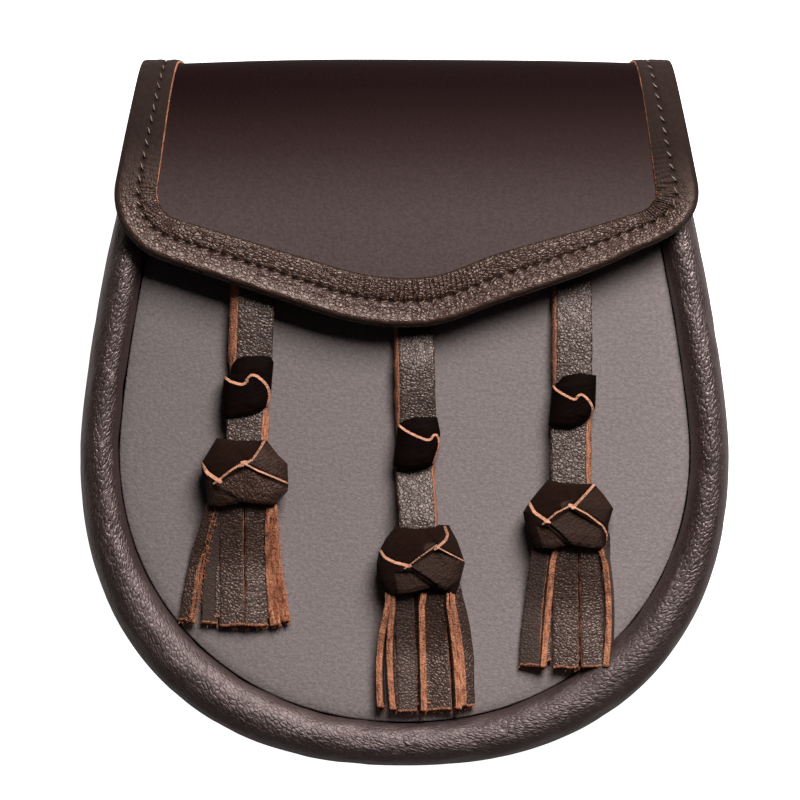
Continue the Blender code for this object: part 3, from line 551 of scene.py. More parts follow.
def fold_profile():
    """The flap's middle layer seen from the side: distance up the flat hide, and (y, z) there."""
    top_y = FLAP_TOP_Y - FLAP_THICKNESS / 2
    back_z = back_face_z(FLAP_FOLD_Y) - SEAM_GAP - FLAP_THICKNESS / 2
    middle_z, half_depth = (FLAP_FRONT_Z + back_z) / 2, (FLAP_FRONT_Z - back_z) / 2
    front_y = np.linspace(FLAP_POINT_Y, FLAP_CREST_Y, FRONT_SAMPLES, endpoint=False)
    fall = (FLAP_CREST_Y - front_y) / (FLAP_CREST_Y - FLAP_POINT_Y)
    stretches = [np.column_stack((front_y, FLAP_FRONT_Z - FLAP_POINT_FALL * fall**FLAP_FALL_POWER))]
    front_bend = np.linspace(math.pi / 2, 0, BEND_SAMPLES, endpoint=False)
    back_bend = np.linspace(0, -math.pi / 2, BEND_SAMPLES + 1)
    for start_y, roundness, angle in (
        (FLAP_CREST_Y, FLAP_FRONT_ROUNDNESS, front_bend),
        (FLAP_FOLD_Y, FLAP_BACK_ROUNDNESS, back_bend),
    ):
        out, up = rounded_square(angle, roundness)
        stretches.append(np.column_stack((start_y + (top_y - start_y) * out, middle_z + half_depth * up)))
    back_y = np.linspace(FLAP_FOLD_Y, FLAP_BACK_Y, BACK_SAMPLES + 1)[1:]
    stretches.append(np.column_stack((back_y, back_face_z(back_y) - SEAM_GAP - FLAP_THICKNESS / 2)))
    profile = np.concatenate(stretches)
    return FLAP_POINT_Y + run_along(profile), profile


ALONG, PROFILE = fold_profile()
HIDE_TOP, HIDE_FOLD_END = ALONG[FRONT_SAMPLES + BEND_SAMPLES], ALONG[-BACK_SAMPLES - 1]
HIDE_BACK = ALONG[-1]


def on_profile(along):
    """The y and z of the flap's middle layer, this far up the flat hide."""
    return np.array((np.interp(along, ALONG, PROFILE[:, 0]), np.interp(along, ALONG, PROFILE[:, 1])))


def bend(x, along, height):
    """Where a point of the flat flap lies once it is bent. Height is above the hide's middle.

    The real flap is cut a little short on its right, most of all at the corner.
    """
    lift = RIGHT_LIFT * smooth_step((x - RIGHT_LIFT_X) / RIGHT_LIFT_REACH)
    lift = lift + CORNER_LIFT * np.exp(-((x - CORNER_LIFT_X) / CORNER_LIFT_REACH) ** 2)
    lift = lift * smooth_step((LIFT_TOP - along) / LIFT_FADE)
    along = along + lift
    x = x - FLAP_SIDE_LEAN * lift * smooth_step((x - SIDE_LIFT_X) / SIDE_LIFT_REACH)
    step_y, step_z = on_profile(along + SLOPE_REACH) - on_profile(along - SLOPE_REACH)
    size = np.hypot(step_y, step_z)
    fade = smooth_step((HIDE_FOLD_END - along) / (HIDE_FOLD_END - HIDE_TOP))
    height = height - fade * FLAP_CROWN * (x / FLAP_CORNER_X) ** 2
    y, z = on_profile(along)
    y, z = y - height * step_z / size, z + height * step_y / size
    return np.stack(np.broadcast_arrays(x + FLAP_CENTRE_X, y, z), axis=-1)


def rounded(corners, radii, arc_step):
    """A row of corners with each one rounded by its radius. A radius of 0 keeps the corner."""
    line = []
    for i, (corner, radius) in enumerate(zip(corners, radii)):
        corner = np.array(corner)
        if not radius:
            line.append(corner)
            continue
        before = np.array(corners[i - 1]) - corner
        after = np.array(corners[(i + 1) % len(corners)]) - corner
        before, after = before / np.linalg.norm(before), after / np.linalg.norm(after)
        half_angle = math.acos(float(before @ after)) / 2
        centre = corner + (before + after) * radius / math.sin(2 * half_angle)
        start = corner + before * radius / math.tan(half_angle) - centre
        sweep = math.pi - 2 * half_angle
        turn = sweep if start[0] * before[1] - start[1] * before[0] < 0 else -sweep
        for share in np.linspace(0, 1, max(3, math.ceil(sweep / arc_step))):
            c, s = math.cos(turn * share), math.sin(turn * share)
            line.append(centre + np.array((c * start[0] - s * start[1], s * start[0] + c * start[1])))
    return np.array(line)


def flap_corners(inset):
    """The flat flap's corners, moved inwards: back left, corner, point, corner, back right."""
    lean = math.atan(FLAP_SIDE_LEAN)
    rise = math.atan((FLAP_CORNER_Y - FLAP_POINT_Y) / FLAP_CORNER_X)
    point_y = FLAP_POINT_Y + inset / math.cos(rise)
    side_x = FLAP_CORNER_X - inset / math.cos(lean)
    corner_x = side_x + FLAP_SIDE_LEAN * (FLAP_CORNER_Y - point_y)
    corner_x /= 1 + FLAP_SIDE_LEAN * math.tan(rise)
    corner_y = point_y + corner_x * math.tan(rise)
    back_x = side_x - FLAP_SIDE_LEAN * (HIDE_BACK - FLAP_CORNER_Y)
    return [(-back_x, HIDE_BACK), (-corner_x, corner_y), (0.0, point_y),
            (corner_x, corner_y), (back_x, HIDE_BACK)]


ARC_STEP = math.radians(2)
inset = BINDING_EDGE + SEAM_GAP
radii = (FLAP_BACK_RADIUS, FLAP_CORNER_RADIUS - inset, FLAP_POINT_RADIUS - inset,
         FLAP_CORNER_RADIUS - inset, FLAP_BACK_RADIUS)
flap_edge = rounded(flap_corners(inset), radii, ARC_STEP)
right_side = flap_edge[flap_edge[:, 0] >= 0]
right_side = right_side[np.argsort(right_side[:, 1])]
along = np.linspace(right_side[0, 1] + 0.1, right_side[-1, 1] - 0.02, FLAP_ROWS)
half_width = np.interp(along, right_side[:, 1], right_side[:, 0])
x = half_width[:, None] * np.sin(np.linspace(-math.pi / 2, math.pi / 2, FLAP_COLUMNS))
rows_along = np.repeat(along[:, None], FLAP_COLUMNS, axis=1)
sag = FLAP_SAG * np.sin(x * 0.07 + 0.6) * np.sin(rows_along * 0.05)
top = bend(x, rows_along, FLAP_THICKNESS / 2 + sag)
bottom = bend(x, rows_along, -FLAP_THICKNESS / 2 + sag)
rings = np.concatenate((top, bottom[:, ::-1]), axis=1)
flat = np.stack((x, rows_along), axis=-1)
flat = np.concatenate((flat, flat[:, ::-1], flat[:, :1]), axis=1)
flap = skin("flap_leather", rings, flat)
# The hide's colour with painted sheen low down and painted shade darkening it towards the fold.
FLAP_TONE_AND_LIGHT = (
    (46, (0.083, 0.060, 0.057)), (56, (0.072, 0.051, 0.048)), (65, (0.052, 0.0345, 0.0325)),
    (74, (0.0300, 0.0170, 0.0160)), (81, (0.0185, 0.0085, 0.0080)), (87, (0.0105, 0.0035, 0.0038)),
    (93, (0.0075, 0.0018, 0.0024)), (99, (0.010, 0.0035, 0.0038)),
)
flap_hide = smooth_finish("waxed flap hide", (0.97, 0.97, 0.97), (1.0, 1.0, 1.0), roughness=0.6,
                          bump=0.14, gloss=0.05, tone_and_light=FLAP_TONE_AND_LIGHT)
fit(flap, flap_hide, "flap_leather", "flap")


# ---------------------------------------------------------------------------------------------
# Flap binding. A band of pebbled hide laid over the flap's edge and turned down round it, held by
# one row of stitches. Its inner edge is cut raw at the sides and gathers at the corners and point.
# ---------------------------------------------------------------------------------------------

BINDING_TOP_WIDTH, BINDING_SIDE_WIDTH, BINDING_POINT_WIDTH = 10.3, 12.4, 14.0
BINDING_STATION, BAND_COLUMNS = 0.45, 30
BINDING_TOP, BINDING_UNDER = 2.5, 1.25
EDGE_ROLL, EDGE_BEAD, EDGE_BEAD_AT, EDGE_BEAD_REACH = 0.5, 1.5, 1.8, 2.1
EDGE_DROP, EDGE_FALL, EDGE_FALL_REACH = 1.5, 1.5, 1.7
STITCH_INSET_SIDE, STITCH_INSET_POINT, STITCH_PITCH = 6.6, 7.0, 3.55
CHANNEL_DEPTH, CHANNEL_REACH, HOLE_DEPTH, HOLE_REACH = 0.40, 0.9, 0.9, 0.60
PIT_REACH, FACE_START, FACE_END, FLAT_START = 0.62, 0.65, 0.45, -2.5
GATHER_PITCH, GATHER_DEPTH, GATHER_X, GATHER_REACH = 1.45, 0.42, 79.0, 14.0
POINT_GATHER_REACH, FOLD_WANDER, BAND_LUMPS, BAND_EDGE_SAG = 22.0, 0.35, 0.12, 0.35
# Where the band's parts start or end, up the flat hide, and how slowly: its low part, its bead,
# its rounded side, its narrowing, its raw inner edge and its painted shade towards the fold.
LOWER_TOP, LOWER_FADE, BEAD_TOP, BEAD_FADE, SIDE_BELOW_TOP, SIDE_FADE = 86.0, 20.0, 70.0, 26.0, 4.0, 16.0
NARROW_Y, NARROW_REACH, RAW_Y, RAW_REACH, FOLD_SHADE_Y, FOLD_SHADE_REACH = 56.0, 50.0, 48.0, 14.0, 54.0, 28.0
BINDING_HIDE, BINDING_WORN = (0.045, 0.0200, 0.0130), (0.066, 0.036, 0.026)


def resampled(line, step):
    """The same line, read at even steps."""
    travelled = run_along(line)
    count = round(travelled[-1] / step) + 1
    at = np.linspace(0, travelled[-1], count)
    return np.stack([np.interp(at, travelled, line[:, i]) for i in range(line.shape[1])], axis=1)


edge_radii = (0, FLAP_CORNER_RADIUS, FLAP_POINT_RADIUS, FLAP_CORNER_RADIUS, 0)
edge_run = resampled(rounded(flap_corners(0.0), edge_radii, ARC_STEP), BINDING_STATION)
way = np.gradient(edge_run, axis=0)
inward = np.stack((-way[:, 1], way[:, 0]), axis=1) / np.linalg.norm(way, axis=1)[:, None]
edge_x, edge_y = edge_run.T
low_share = smooth_step((FLAP_CORNER_Y - edge_y) / (FLAP_CORNER_Y - FLAP_POINT_Y))
band_width = BINDING_SIDE_WIDTH + (BINDING_POINT_WIDTH - BINDING_SIDE_WIDTH) * low_share
narrowed = smooth_step((edge_y - NARROW_Y) / NARROW_REACH)
band_width -= (BINDING_SIDE_WIDTH - BINDING_TOP_WIDTH) * narrowed
stitch_inset = STITCH_INSET_SIDE + (STITCH_INSET_POINT - STITCH_INSET_SIDE) * low_share
travelled = run_along(edge_run)


def on_band(inset, height):
    """Points of the bent binding, this far in from the flap's edge and above its middle."""
    at = edge_run + inward * np.broadcast_to(inset, len(edge_run))[:, None]
    return bend(at[:, 0], at[:, 1], height)


stitch_line = on_band(stitch_inset, np.full(len(edge_run), BINDING_TOP))
stitch_run = run_along(stitch_line)
stitch_count = round(stitch_run[-1] / STITCH_PITCH)
pitch = stitch_run[-1] / stitch_count

lower = smooth_step((LOWER_TOP - edge_y) / LOWER_FADE)
bead_share = smooth_step((BEAD_TOP - edge_y) / BEAD_FADE)
side_share = (1 - bead_share) * smooth_step((HIDE_TOP - SIDE_BELOW_TOP - edge_y) / SIDE_FADE)


def edge_height(inset):
    """How far the binding stands off its flat: a bead low down, rounded away at the sides."""
    bead = EDGE_BEAD * np.exp(-((inset - EDGE_BEAD_AT) / EDGE_BEAD_REACH) ** 2)
    outside = np.clip(1 - inset / EDGE_BEAD_AT, 0, 1)
    bead = bead - EDGE_DROP * (1 - np.sqrt(1 - outside**2))
    rounding = EDGE_FALL * np.exp(-inset / EDGE_FALL_REACH)
    return bead * bead_share - rounding * side_share


# Each column of the band is an inset from the flap's edge, a height, and how raw it is cut. First
# the edge rolls over, then the face runs inwards, then the band turns under itself.
columns = []
for angle in np.radians((-120, 180, 162, 144, 126, 108, 90)):
    inset = np.full(len(edge_run), EDGE_ROLL * (1 + math.cos(angle)))
    height = BINDING_TOP + edge_height(EDGE_ROLL) + EDGE_ROLL * (math.sin(angle) - 1)
    columns.append((inset, height, 0.0))

# Gathers are deepest round the two corners and at the point.
corner_share = np.exp(-((np.abs(edge_x) - GATHER_X) / GATHER_REACH) ** 2) * lower
point_share = np.exp(-(edge_x / POINT_GATHER_REACH) ** 2)
gather = np.clip(corner_share * (0.75 + 0.25 * np.sign(edge_x)) + point_share, 0, 1)
hole_phase = ((stitch_run / pitch + 0.5) % 1 - 0.5) * pitch
pits = np.exp(-(hole_phase / PIT_REACH) ** 2)
for share in np.linspace(0, 1, BAND_COLUMNS) ** 1.15:
    inset = FACE_START + (band_width - FACE_END - FACE_START) * share
    from_row = inset - stitch_inset
    channel = CHANNEL_DEPTH * np.exp(-(from_row / CHANNEL_REACH) ** 2)
    hole = HOLE_DEPTH * np.exp(-(from_row / HOLE_REACH) ** 2) * pits
    inner_share = smooth_step((from_row + 1.4) / 2.4)
    spots = np.column_stack((travelled, inset))
    wander = FOLD_WANDER * ripple(spots, 4.0, 3.0)
    folds = np.sin(math.tau * (travelled / GATHER_PITCH + wander)) * GATHER_DEPTH
    lumps = BAND_LUMPS * ripple(spots, 1.6, 5.0)
    height = BINDING_TOP + edge_height(inset) - channel - hole + lumps + folds * gather * inner_share
    columns.append((inset, height - BAND_EDGE_SAG * share**6, 0.0))
for inset, height, raw in (
    (band_width - 0.25, BINDING_TOP - 0.75, 1.0), (band_width, BINDING_UNDER + 0.05, 1.0),
    (band_width - 0.3, BINDING_UNDER, 0.0), (BINDING_EDGE + 0.2, BINDING_UNDER, 0.0),
    (BINDING_EDGE + 0.2, -FLAP_THICKNESS / 2, 0.0),
):
    columns.append((np.broadcast_to(inset, len(edge_run)), np.full(len(edge_run), height), raw))
rings = np.stack([on_band(inset, height) for inset, height, _ in columns], axis=1)
raw_share = smooth_step((edge_y - RAW_Y) / RAW_REACH)
cut = np.stack([raw_share * raw for _, _, raw in columns], axis=1)
across = np.stack([inset for inset, _, _ in columns], axis=1)
across[:, 0] = FLAT_START
flat = np.stack((np.repeat(travelled[:, None], len(columns), axis=1), across), axis=-1)
flat = np.concatenate((flat, flat[:, :1]), axis=1)

# The grain is deep low down, and smooth towards the fold and along the edge. Painted shade darkens
# and dulls the band towards the fold, along its rolled-under lower edge and in its stitch holes.
grain = (0.15 + 0.85 * lower[:, None]) * (0.3 + 0.7 * smooth_step((across - 1.2) / 3.0))
# Painted shade in the stitch holes.
hole_shade = np.exp(-((across - stitch_inset[:, None]) / HOLE_REACH) ** 2) * pits[:, None]
right_share = 0.15 * smooth_step(edge_x / 20.0)
# Painted shade: the band darkens and dulls towards the fold, a little sooner on the right.
fold_shade = 0.97 * smooth_step((edge_y - FOLD_SHADE_Y) / FOLD_SHADE_REACH + right_share)[:, None]
# Painted shade along the rolled-under lower edge.
rolled_edge_shade = 0.92 * smooth_step((1.6 - across) / 1.1) * lower[:, None]
crease = np.clip(hole_shade + fold_shade + rolled_edge_shade, 0, 1)
flap_binding = skin("flap_binding_leather", rings, flat, cut=cut, grain=grain, crease=crease)
binding_hide = grained_finish("binding grained hide", BINDING_HIDE, BINDING_WORN, cell=0.80, depth=0.23,
                              roughness=0.40, gloss=0.72, stretch=1.7, sheen=RUSSET_SHEEN)
fit(flap_binding, binding_hide, "grained_leather", "flap_binding")


# ---------------------------------------------------------------------------------------------
# Flap stitches. One row of waxed brown thread through binding and flap. Each stitch lies a little
# aslant between its two holes and catches the light.
# ---------------------------------------------------------------------------------------------

STITCH_LENGTH, STITCH_WIDTH, STITCH_HEIGHT, STITCH_SINK = 2.1, 0.40, 0.40, 0.22
STITCH_SLANT, STITCH_JITTER, STITCH_SEED = math.radians(28), math.radians(12), 4
THREAD_DARK, THREAD_LIGHT = (0.08, 0.045, 0.029, 1), (0.32, 0.22, 0.16, 1)


def thread_finish():
    """Waxed thread: two twisted strands that show as slanting bands."""
    finish, tree, shader, where = start_finish("waxed brown thread")
    strands = place(tree, "ShaderNodeTexWave", {"Vector": where, "Scale": 2.2, "Distortion": 2.0},
                    wave_type="BANDS", bands_direction="DIAGONAL").outputs["Fac"]
    wire(tree, shader["Base Color"], blend_colours(tree, strands, THREAD_DARK, THREAD_LIGHT))
    wire(tree, shader["Roughness"], 0.30)
    emboss(tree, shader, strands, 0.1, 0.6)
    return finish


def stitch_row_tree(finish):
    """Geometry Nodes: even stitches along a path whose points carry the way up out of the hide."""
    tree, given, kept = start_group("row of stitches", {
        "Path": "Geometry", "Stitches": "Int", "Length": "Float", "Width": "Float",
        "Height": "Float", "Slant": "Float", "Jitter": "Float", "Seed": "Int",
    }, {"Stitches": "Geometry"}, "GeometryNodeTree")
    path = place(tree, "GeometryNodeMeshToCurve", {"Mesh": given["Path"]}).outputs[0]
    path = place(tree, "GeometryNodeResampleCurve", {"Curve": path, "Count": given["Stitches"]}).outputs[0]
    up = place(tree, "GeometryNodeInputNamedAttribute", {"Name": "up"}, data_type="FLOAT_VECTOR")
    heading = place(tree, "GeometryNodeInputTangent").outputs[0]
    aimed = place(tree, "FunctionNodeAxesToRotation",
                  {"Primary Axis": up.outputs[0], "Secondary Axis": heading},
                  primary_axis="Z", secondary_axis="X").outputs[0]
    least = sum_up(tree, "MULTIPLY", given["Jitter"], -1.0)
    wobble = place(tree, "FunctionNodeRandomValue", {2: least, 3: given["Jitter"], "Seed": given["Seed"]},
                   data_type="FLOAT")
    slant = sum_up(tree, "ADD", given["Slant"], wobble.outputs[1])
    turned = place(tree, "ShaderNodeCombineXYZ", {"Z": slant}).outputs[0]
    aimed = place(tree, "FunctionNodeRotateRotation", {"Rotation": aimed, "Rotate By": turned},
                  rotation_space="LOCAL").outputs[0]
    bead = place(tree, "GeometryNodeMeshUVSphere", {"Segments": 10, "Rings": 8, "Radius": 0.5}).outputs[0]
    size = place(tree, "ShaderNodeCombineXYZ",
                 {"X": given["Length"], "Y": given["Width"], "Z": given["Height"]}).outputs[0]
    laid = place(tree, "GeometryNodeInstanceOnPoints",
                 {"Points": path, "Instance": bead, "Rotation": aimed, "Scale": size}).outputs[0]
    real = place(tree, "GeometryNodeRealizeInstances", {"Geometry": laid}).outputs[0]
    real = place(tree, "GeometryNodeSetShadeSmooth", {"Geometry": real}).outputs[0]
    real = place(tree, "GeometryNodeSetMaterial", {"Geometry": real, "Material": finish}).outputs[0]
    wire(tree, kept[0], real)
    return tree


def grow(name, points, edges, up, tree, sizes):
    """Run a Geometry Nodes tree on points that carry a way up, and keep what it makes as a plain mesh."""
    guide_mesh = bpy.data.meshes.new(name)
    guide_mesh.from_pydata((points * MM).tolist(), edges, [])
    ways = guide_mesh.attributes.new("up", "FLOAT_VECTOR", "POINT")
    ways.data.foreach_set("vector", up.astype(float).ravel())
    guide = set_out(name + "_guide", guide_mesh)
    rows = guide.modifiers.new(tree.name, "NODES")
    rows.node_group = tree
    for item in tree.interface.items_tree:
        if item.in_out == "INPUT" and item.name in sizes:
            rows[item.identifier] = sizes[item.name]
    graph = bpy.context.evaluated_depsgraph_get()
    mesh = bpy.data.meshes.new_from_object(guide.evaluated_get(graph))
    bpy.data.objects.remove(guide, do_unlink=True)
    mesh.name = name
    grown = set_out(name, mesh)
    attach(grown, "root")


def sew(name, path, up, count, slant=STITCH_SLANT):
    """Lay stitches evenly along a path in mm."""
    sizes = {"Stitches": count, "Length": STITCH_LENGTH * MM, "Width": STITCH_WIDTH * MM,
             "Height": STITCH_HEIGHT * MM, "Slant": slant, "Jitter": STITCH_JITTER, "Seed": STITCH_SEED}
    grow(name, path, [(i, i + 1) for i in range(len(path) - 1)], up, stitch_tree, sizes)


stitch_tree = stitch_row_tree(thread_finish())
first_to_last = (stitch_run >= pitch / 2) & (stitch_run <= stitch_run[-1] - pitch / 2)
raised = on_band(stitch_inset, np.full(len(edge_run), BINDING_TOP + 1.0))
stitch_up = (raised - stitch_line)[first_to_last]
stitch_path = on_band(stitch_inset, np.full(len(edge_run), BINDING_TOP - STITCH_SINK))[first_to_last]
sew("flap_stitches", stitch_path, stitch_up, stitch_count)


# ---------------------------------------------------------------------------------------------
# Snap. A plain brass stud on the front panel, hidden under the flap's point.
# ---------------------------------------------------------------------------------------------

SNAP_Y, SNAP_RADIUS, SNAP_SIDES = 46.0, 6.0, 48
BRASS = (0.56, 0.44, 0.24, 1)

brass, tree, shader, where = start_finish("satin brass")
wire(tree, shader["Base Color"], BRASS)
wire(tree, shader["Metallic"], 1.0)
wire(tree, shader["Roughness"], spread(tree, speckle(tree, where, 1.2), 0.3, 0.7, 0.28, 0.4))
turns = np.linspace(0, -math.tau, SNAP_SIDES, endpoint=False)
snap_top = bend(0.0, SNAP_Y - SNAP_RADIUS, -FLAP_THICKNESS / 2)[2] - SEAM_GAP
low_z = PANEL_FACE_Z + 0.1
levels = ((0.0, low_z), (0.96, low_z), (1.0, low_z + 0.4), (0.98, low_z + 1.6), (0.72, low_z + 2.2),
          (0.7, snap_top - 1.0), (0.62, snap_top - 0.3), (0.3, snap_top), (0.0, snap_top))
rings = []
for wide, z in levels:
    radius = SNAP_RADIUS * max(wide, 0.001)
    rings.append(np.column_stack((FLAP_CENTRE_X + radius * np.cos(turns), SNAP_Y + radius * np.sin(turns),
                                  np.full(SNAP_SIDES, z))))
snap = skin("snap_stud", np.array(rings), front_view(np.array(rings)))
fit(snap, brass, "closure_brass", "snap_closure")


# ---------------------------------------------------------------------------------------------
# Belt loops. Two strips of the smooth hide on the back, each sewn down at both ends and held off
# the back in the middle, so that a belt runs through.
# ---------------------------------------------------------------------------------------------

LOOP_THICKNESS, LOOP_WIDTH, LOOP_X = 2.0, 20.0, 42.0
LOOP_LOW_Y, LOOP_HIGH_Y, LOOP_FOOT, LOOP_RISE, LOOP_STATIONS = 20.0, 62.0, 6.0, 5.0, 90
LOOP_STITCHES, LOOP_STITCH_INSET, LOOP_STITCH_SINK = 5, 1.8, 0.1

# A strip's section, anticlockwise from its upper left edge: how far out, how high, how raw.
STRIP_SECTION = (
    (-1.0, 0.72, 1), (-0.955, 1.0, 0), (-0.8, 1.0, 0), (-0.4, 1.0, 0), (0.0, 1.0, 0), (0.4, 1.0, 0),
    (0.8, 1.0, 0), (0.955, 1.0, 0), (1.0, 0.72, 1), (1.0, -0.8, 1), (0.95, -1.0, 1), (0.0, -1.0, 1),
    (-0.95, -1.0, 1), (-1.0, -0.8, 1),
)


def ribbon(name, path, width, thickness, roll=0.0, lean=0.0, waver=0.0, crown=0.0, all_raw=False,
           seed=0.0, ragged=0.0, shade=0.0):
    """A strip of hide along a path. Its side faces are marked as cut.

    Roll turns it about its length, and lean slides its face sideways off its back. Waver and crown
    are how far in mm its edges wander and its face swells. Ragged is how many mm of its far end
    are torn, and shade how much painted shade darkens and dulls its face.
    """
    path = np.asarray(path, dtype=float)
    count = len(path)
    width, roll, lean = (np.broadcast_to(value, count).astype(float) for value in (width, roll, lean))
    heading = np.gradient(path, axis=0)
    heading /= np.linalg.norm(heading, axis=1)[:, None]
    up = np.array((0.0, 0.0, 1.0)) - heading * heading[:, 2:]
    up /= np.linalg.norm(up, axis=1)[:, None]
    side = np.cross(up, heading)
    across = side * np.cos(roll)[:, None] + up * np.sin(roll)[:, None]
    above = up * np.cos(roll)[:, None] - side * np.sin(roll)[:, None]
    travelled = run_along(path)
    rings = np.empty((count, len(STRIP_SECTION), 3))
    for i, (out, high, _) in enumerate(STRIP_SECTION):
        spots = np.column_stack((travelled, np.full(count, 5.0 * np.sign(out))))
        edge = waver * ripple(spots, 3.0, seed + high)
        sideways = width / 2 * out + edge * abs(out) ** 4 * np.sign(out) + lean * high
        height = thickness / 2 * high + (crown * (1 - out * out) if high == 1.0 else 0.0)
        rings[:, i] = path + across * sideways[:, None] + above * np.reshape(height, (-1, 1))
        torn = noise.noise((2.1 * out, 3.7 * high, seed)) + 0.6 * noise.noise((7.0 * out, high, seed))
        rings[-2:, i] += heading[-1] * ragged * torn
    middle = rings[count // 2]
    girth = run_along(np.concatenate((middle, middle[:1])))
    flat = np.stack(np.meshgrid(travelled + 37.0 * seed, girth, indexing="ij"), axis=-1)
    cut = np.ones((count, len(STRIP_SECTION)))
    if not all_raw:
        cut[:] = [raw for _, _, raw in STRIP_SECTION]
    torn = smooth_step((travelled - travelled[-1] + ragged + 0.3) / 0.6) if ragged else np.zeros(count)
    cut = np.maximum(cut, 0.7 * torn[:, None])
    return skin(name, rings, flat, cut=cut, grain=np.ones(cut.shape), crease=np.full(cut.shape, shade))


half = LOOP_THICKNESS / 2
for name, x in (("belt_loop_left", -LOOP_X), ("belt_loop_right", LOOP_X)):
    y = np.linspace(LOOP_LOW_Y, LOOP_HIGH_Y, LOOP_STATIONS)
    off = np.minimum(y - LOOP_LOW_Y, LOOP_HIGH_Y - y)
    lifted = smooth_step((off - LOOP_FOOT) / LOOP_RISE)
    against = back_face_z(y) - SEAM_GAP - half
    route = np.column_stack((np.full(len(y), x), y, against + (half - against) * lifted))
    loop = ribbon(name + "_leather", route, LOOP_WIDTH, LOOP_THICKNESS, roll=math.pi)
    fit(loop, plain_hide, "panel_leather", name)
    for end, middle_y in (("low", LOOP_LOW_Y + LOOP_FOOT / 2), ("high", LOOP_HIGH_Y - LOOP_FOOT / 2)):
        reach = LOOP_WIDTH / 2 - LOOP_STITCH_INSET
        foot_z = back_face_z(middle_y) - SEAM_GAP - LOOP_THICKNESS + LOOP_STITCH_SINK
        path = np.array([(x + reach * share, middle_y, foot_z) for share in np.linspace(-1, 1, 40)])
        up = np.tile((0.0, 0.0, -1.0), (len(path), 1))
        sew(f"{name}_stitches_{end}", path, up, LOOP_STITCHES, 0.0)


# ---------------------------------------------------------------------------------------------
# Straps. Three strips of pebbled hide, about 10 mm wide, that come out from under the flap. Their
# cut sides are raw and lean into view. Each runs through a small knot into its tassel's knot.
# ---------------------------------------------------------------------------------------------

STRAP_WIDTH, STRAP_THICKNESS, STRAP_STEP, STRAP_WAVER, STRAP_CROWN = 10.4, 2.2, 0.5, 0.14, 0.12
STRAP_HIDE, STRAP_WORN = (0.040, 0.0190, 0.0130), (0.058, 0.034, 0.026)
KNOT_GAP, SMALL_KNOT_DEPTH, TASSEL_KNOT_DEPTH = 0.3, 8.6, 11.6
SMALL_KNOT_Z = PANEL_FACE_Z + KNOT_GAP + SMALL_KNOT_DEPTH / 2
TASSEL_KNOT_Z = PANEL_FACE_Z + KNOT_GAP + TASSEL_KNOT_DEPTH / 2
Turn = namedtuple("Turn", "y x z lean")  # where a strap passes, and how far its face leans
STRAP_TURNS = {
    "left": (Turn(50, -43.2, 37.2, 1.4), Turn(36, -43.2, 38.2, 1.4), Turn(27, -43.5, 38.3, 1.4),
             Turn(20, -43.8, 37.8, 1.4), Turn(15.3, -43.9, 37.3, 1.4), Turn(6.8, -44.1, 37.7, 0.0),
             Turn(-1.7, -44.6, 38.3, -1.15), Turn(-7.6, -44.8, 38.3, -1.15),
             Turn(-11.5, -44.8, 38.2, -0.6)),
    "middle": (Turn(37, 2.4, 34.0, 0.70), Turn(26, 2.6, 34.6, 0.73), Turn(13, 2.8, 38.2, 0.78),
               Turn(5, 3.0, 38.0, 0.83), Turn(-1.3, 3.1, 37.0, 0.85), Turn(-8.8, 3.0, 36.7, 0.0),
               Turn(-16.3, 3.0, 36.2, -0.50), Turn(-30.2, 3.9, 40.7, -0.40), Turn(-36, 4.0, 40.9, -0.2)),
    "right": (Turn(50, 47.6, 34.4, 0.70), Turn(37, 47.6, 34.6, 0.70), Turn(23, 47.7, 37.3, 0.75),
              Turn(10.6, 47.7, 37.8, 0.80), Turn(3.3, 47.4, 37.5, 0.0), Turn(-4.0, 47.4, 37.3, -0.85),
              Turn(-18.5, 47.4, 38.2, -0.85), Turn(-23.5, 47.4, 38.4, -0.4)),
}
strap_hide = grained_finish("strap grained hide", STRAP_HIDE, STRAP_WORN, cell=0.95, depth=0.18,
                            roughness=0.47, gloss=0.72, index=1.65)
for number, (side, turns) in enumerate(STRAP_TURNS.items()):
    stops = np.array(turns)[::-1]
    y = np.linspace(stops[-1, 0], stops[0, 0], round((stops[-1, 0] - stops[0, 0]) / STRAP_STEP))
    eased = [np.interp(y, stops[:, 0], stops[:, column]) for column in (1, 2, 3)]
    for _ in range(3):  # ease the turns
        for values in eased:
            values[2:-2] = (values[:-4] + values[1:-3] + values[2:-2] + values[3:-1] + values[4:]) / 5
    route = np.column_stack((eased[0], y, eased[1]))
    strap = ribbon(f"strap_{side}_leather", route, STRAP_WIDTH, STRAP_THICKNESS, lean=eased[2],
                   waver=STRAP_WAVER, crown=STRAP_CROWN, seed=float(number))
    fit(strap, strap_hide, "grained_leather", f"strap_{side}")


# ---------------------------------------------------------------------------------------------
# Small knots. A turn of very dark smooth hide folded over each strap: a lower band laps an upper
# one, and its lit raw edge draws an S across the knot.
# ---------------------------------------------------------------------------------------------

KNOT_SQUARENESS, KNOT_BACK_COLUMNS, KNOT_ENDS = 2.6, 38, (0.55, 0.86)  # ends: rings that close it
CREASE_WIDTH, LAP_REACH, LAP_STEP, LAP_SHADE = 0.14, 3.5, 0.25, 0.45
SMALL_KNOT_HIDE, SMALL_KNOT_WORN = (0.0042, 0.0016, 0.0012), (0.013, 0.006, 0.005)
KNOT_SHADE, KNOT_RAW = (0.001, 0.0004, 0.0003, 1), (0.85, 0.50, 0.36, 1)
Lap = namedtuple("Lap", "line step raw")  # one edge over another: its left-hand side is the upper one
Facet = namedtuple("Facet", "corners lean_x lean_y grain")  # a plane part of a face, corners anticlockwise
SmallKnot = namedtuple("SmallKnot", "side x y left right top foot laps")
SMALL_FORM = ((0.0, 0.66), (0.06, 0.80), (0.22, 0.94), (0.5, 1.0), (0.8, 0.96), (0.94, 0.84), (1.0, 0.70))
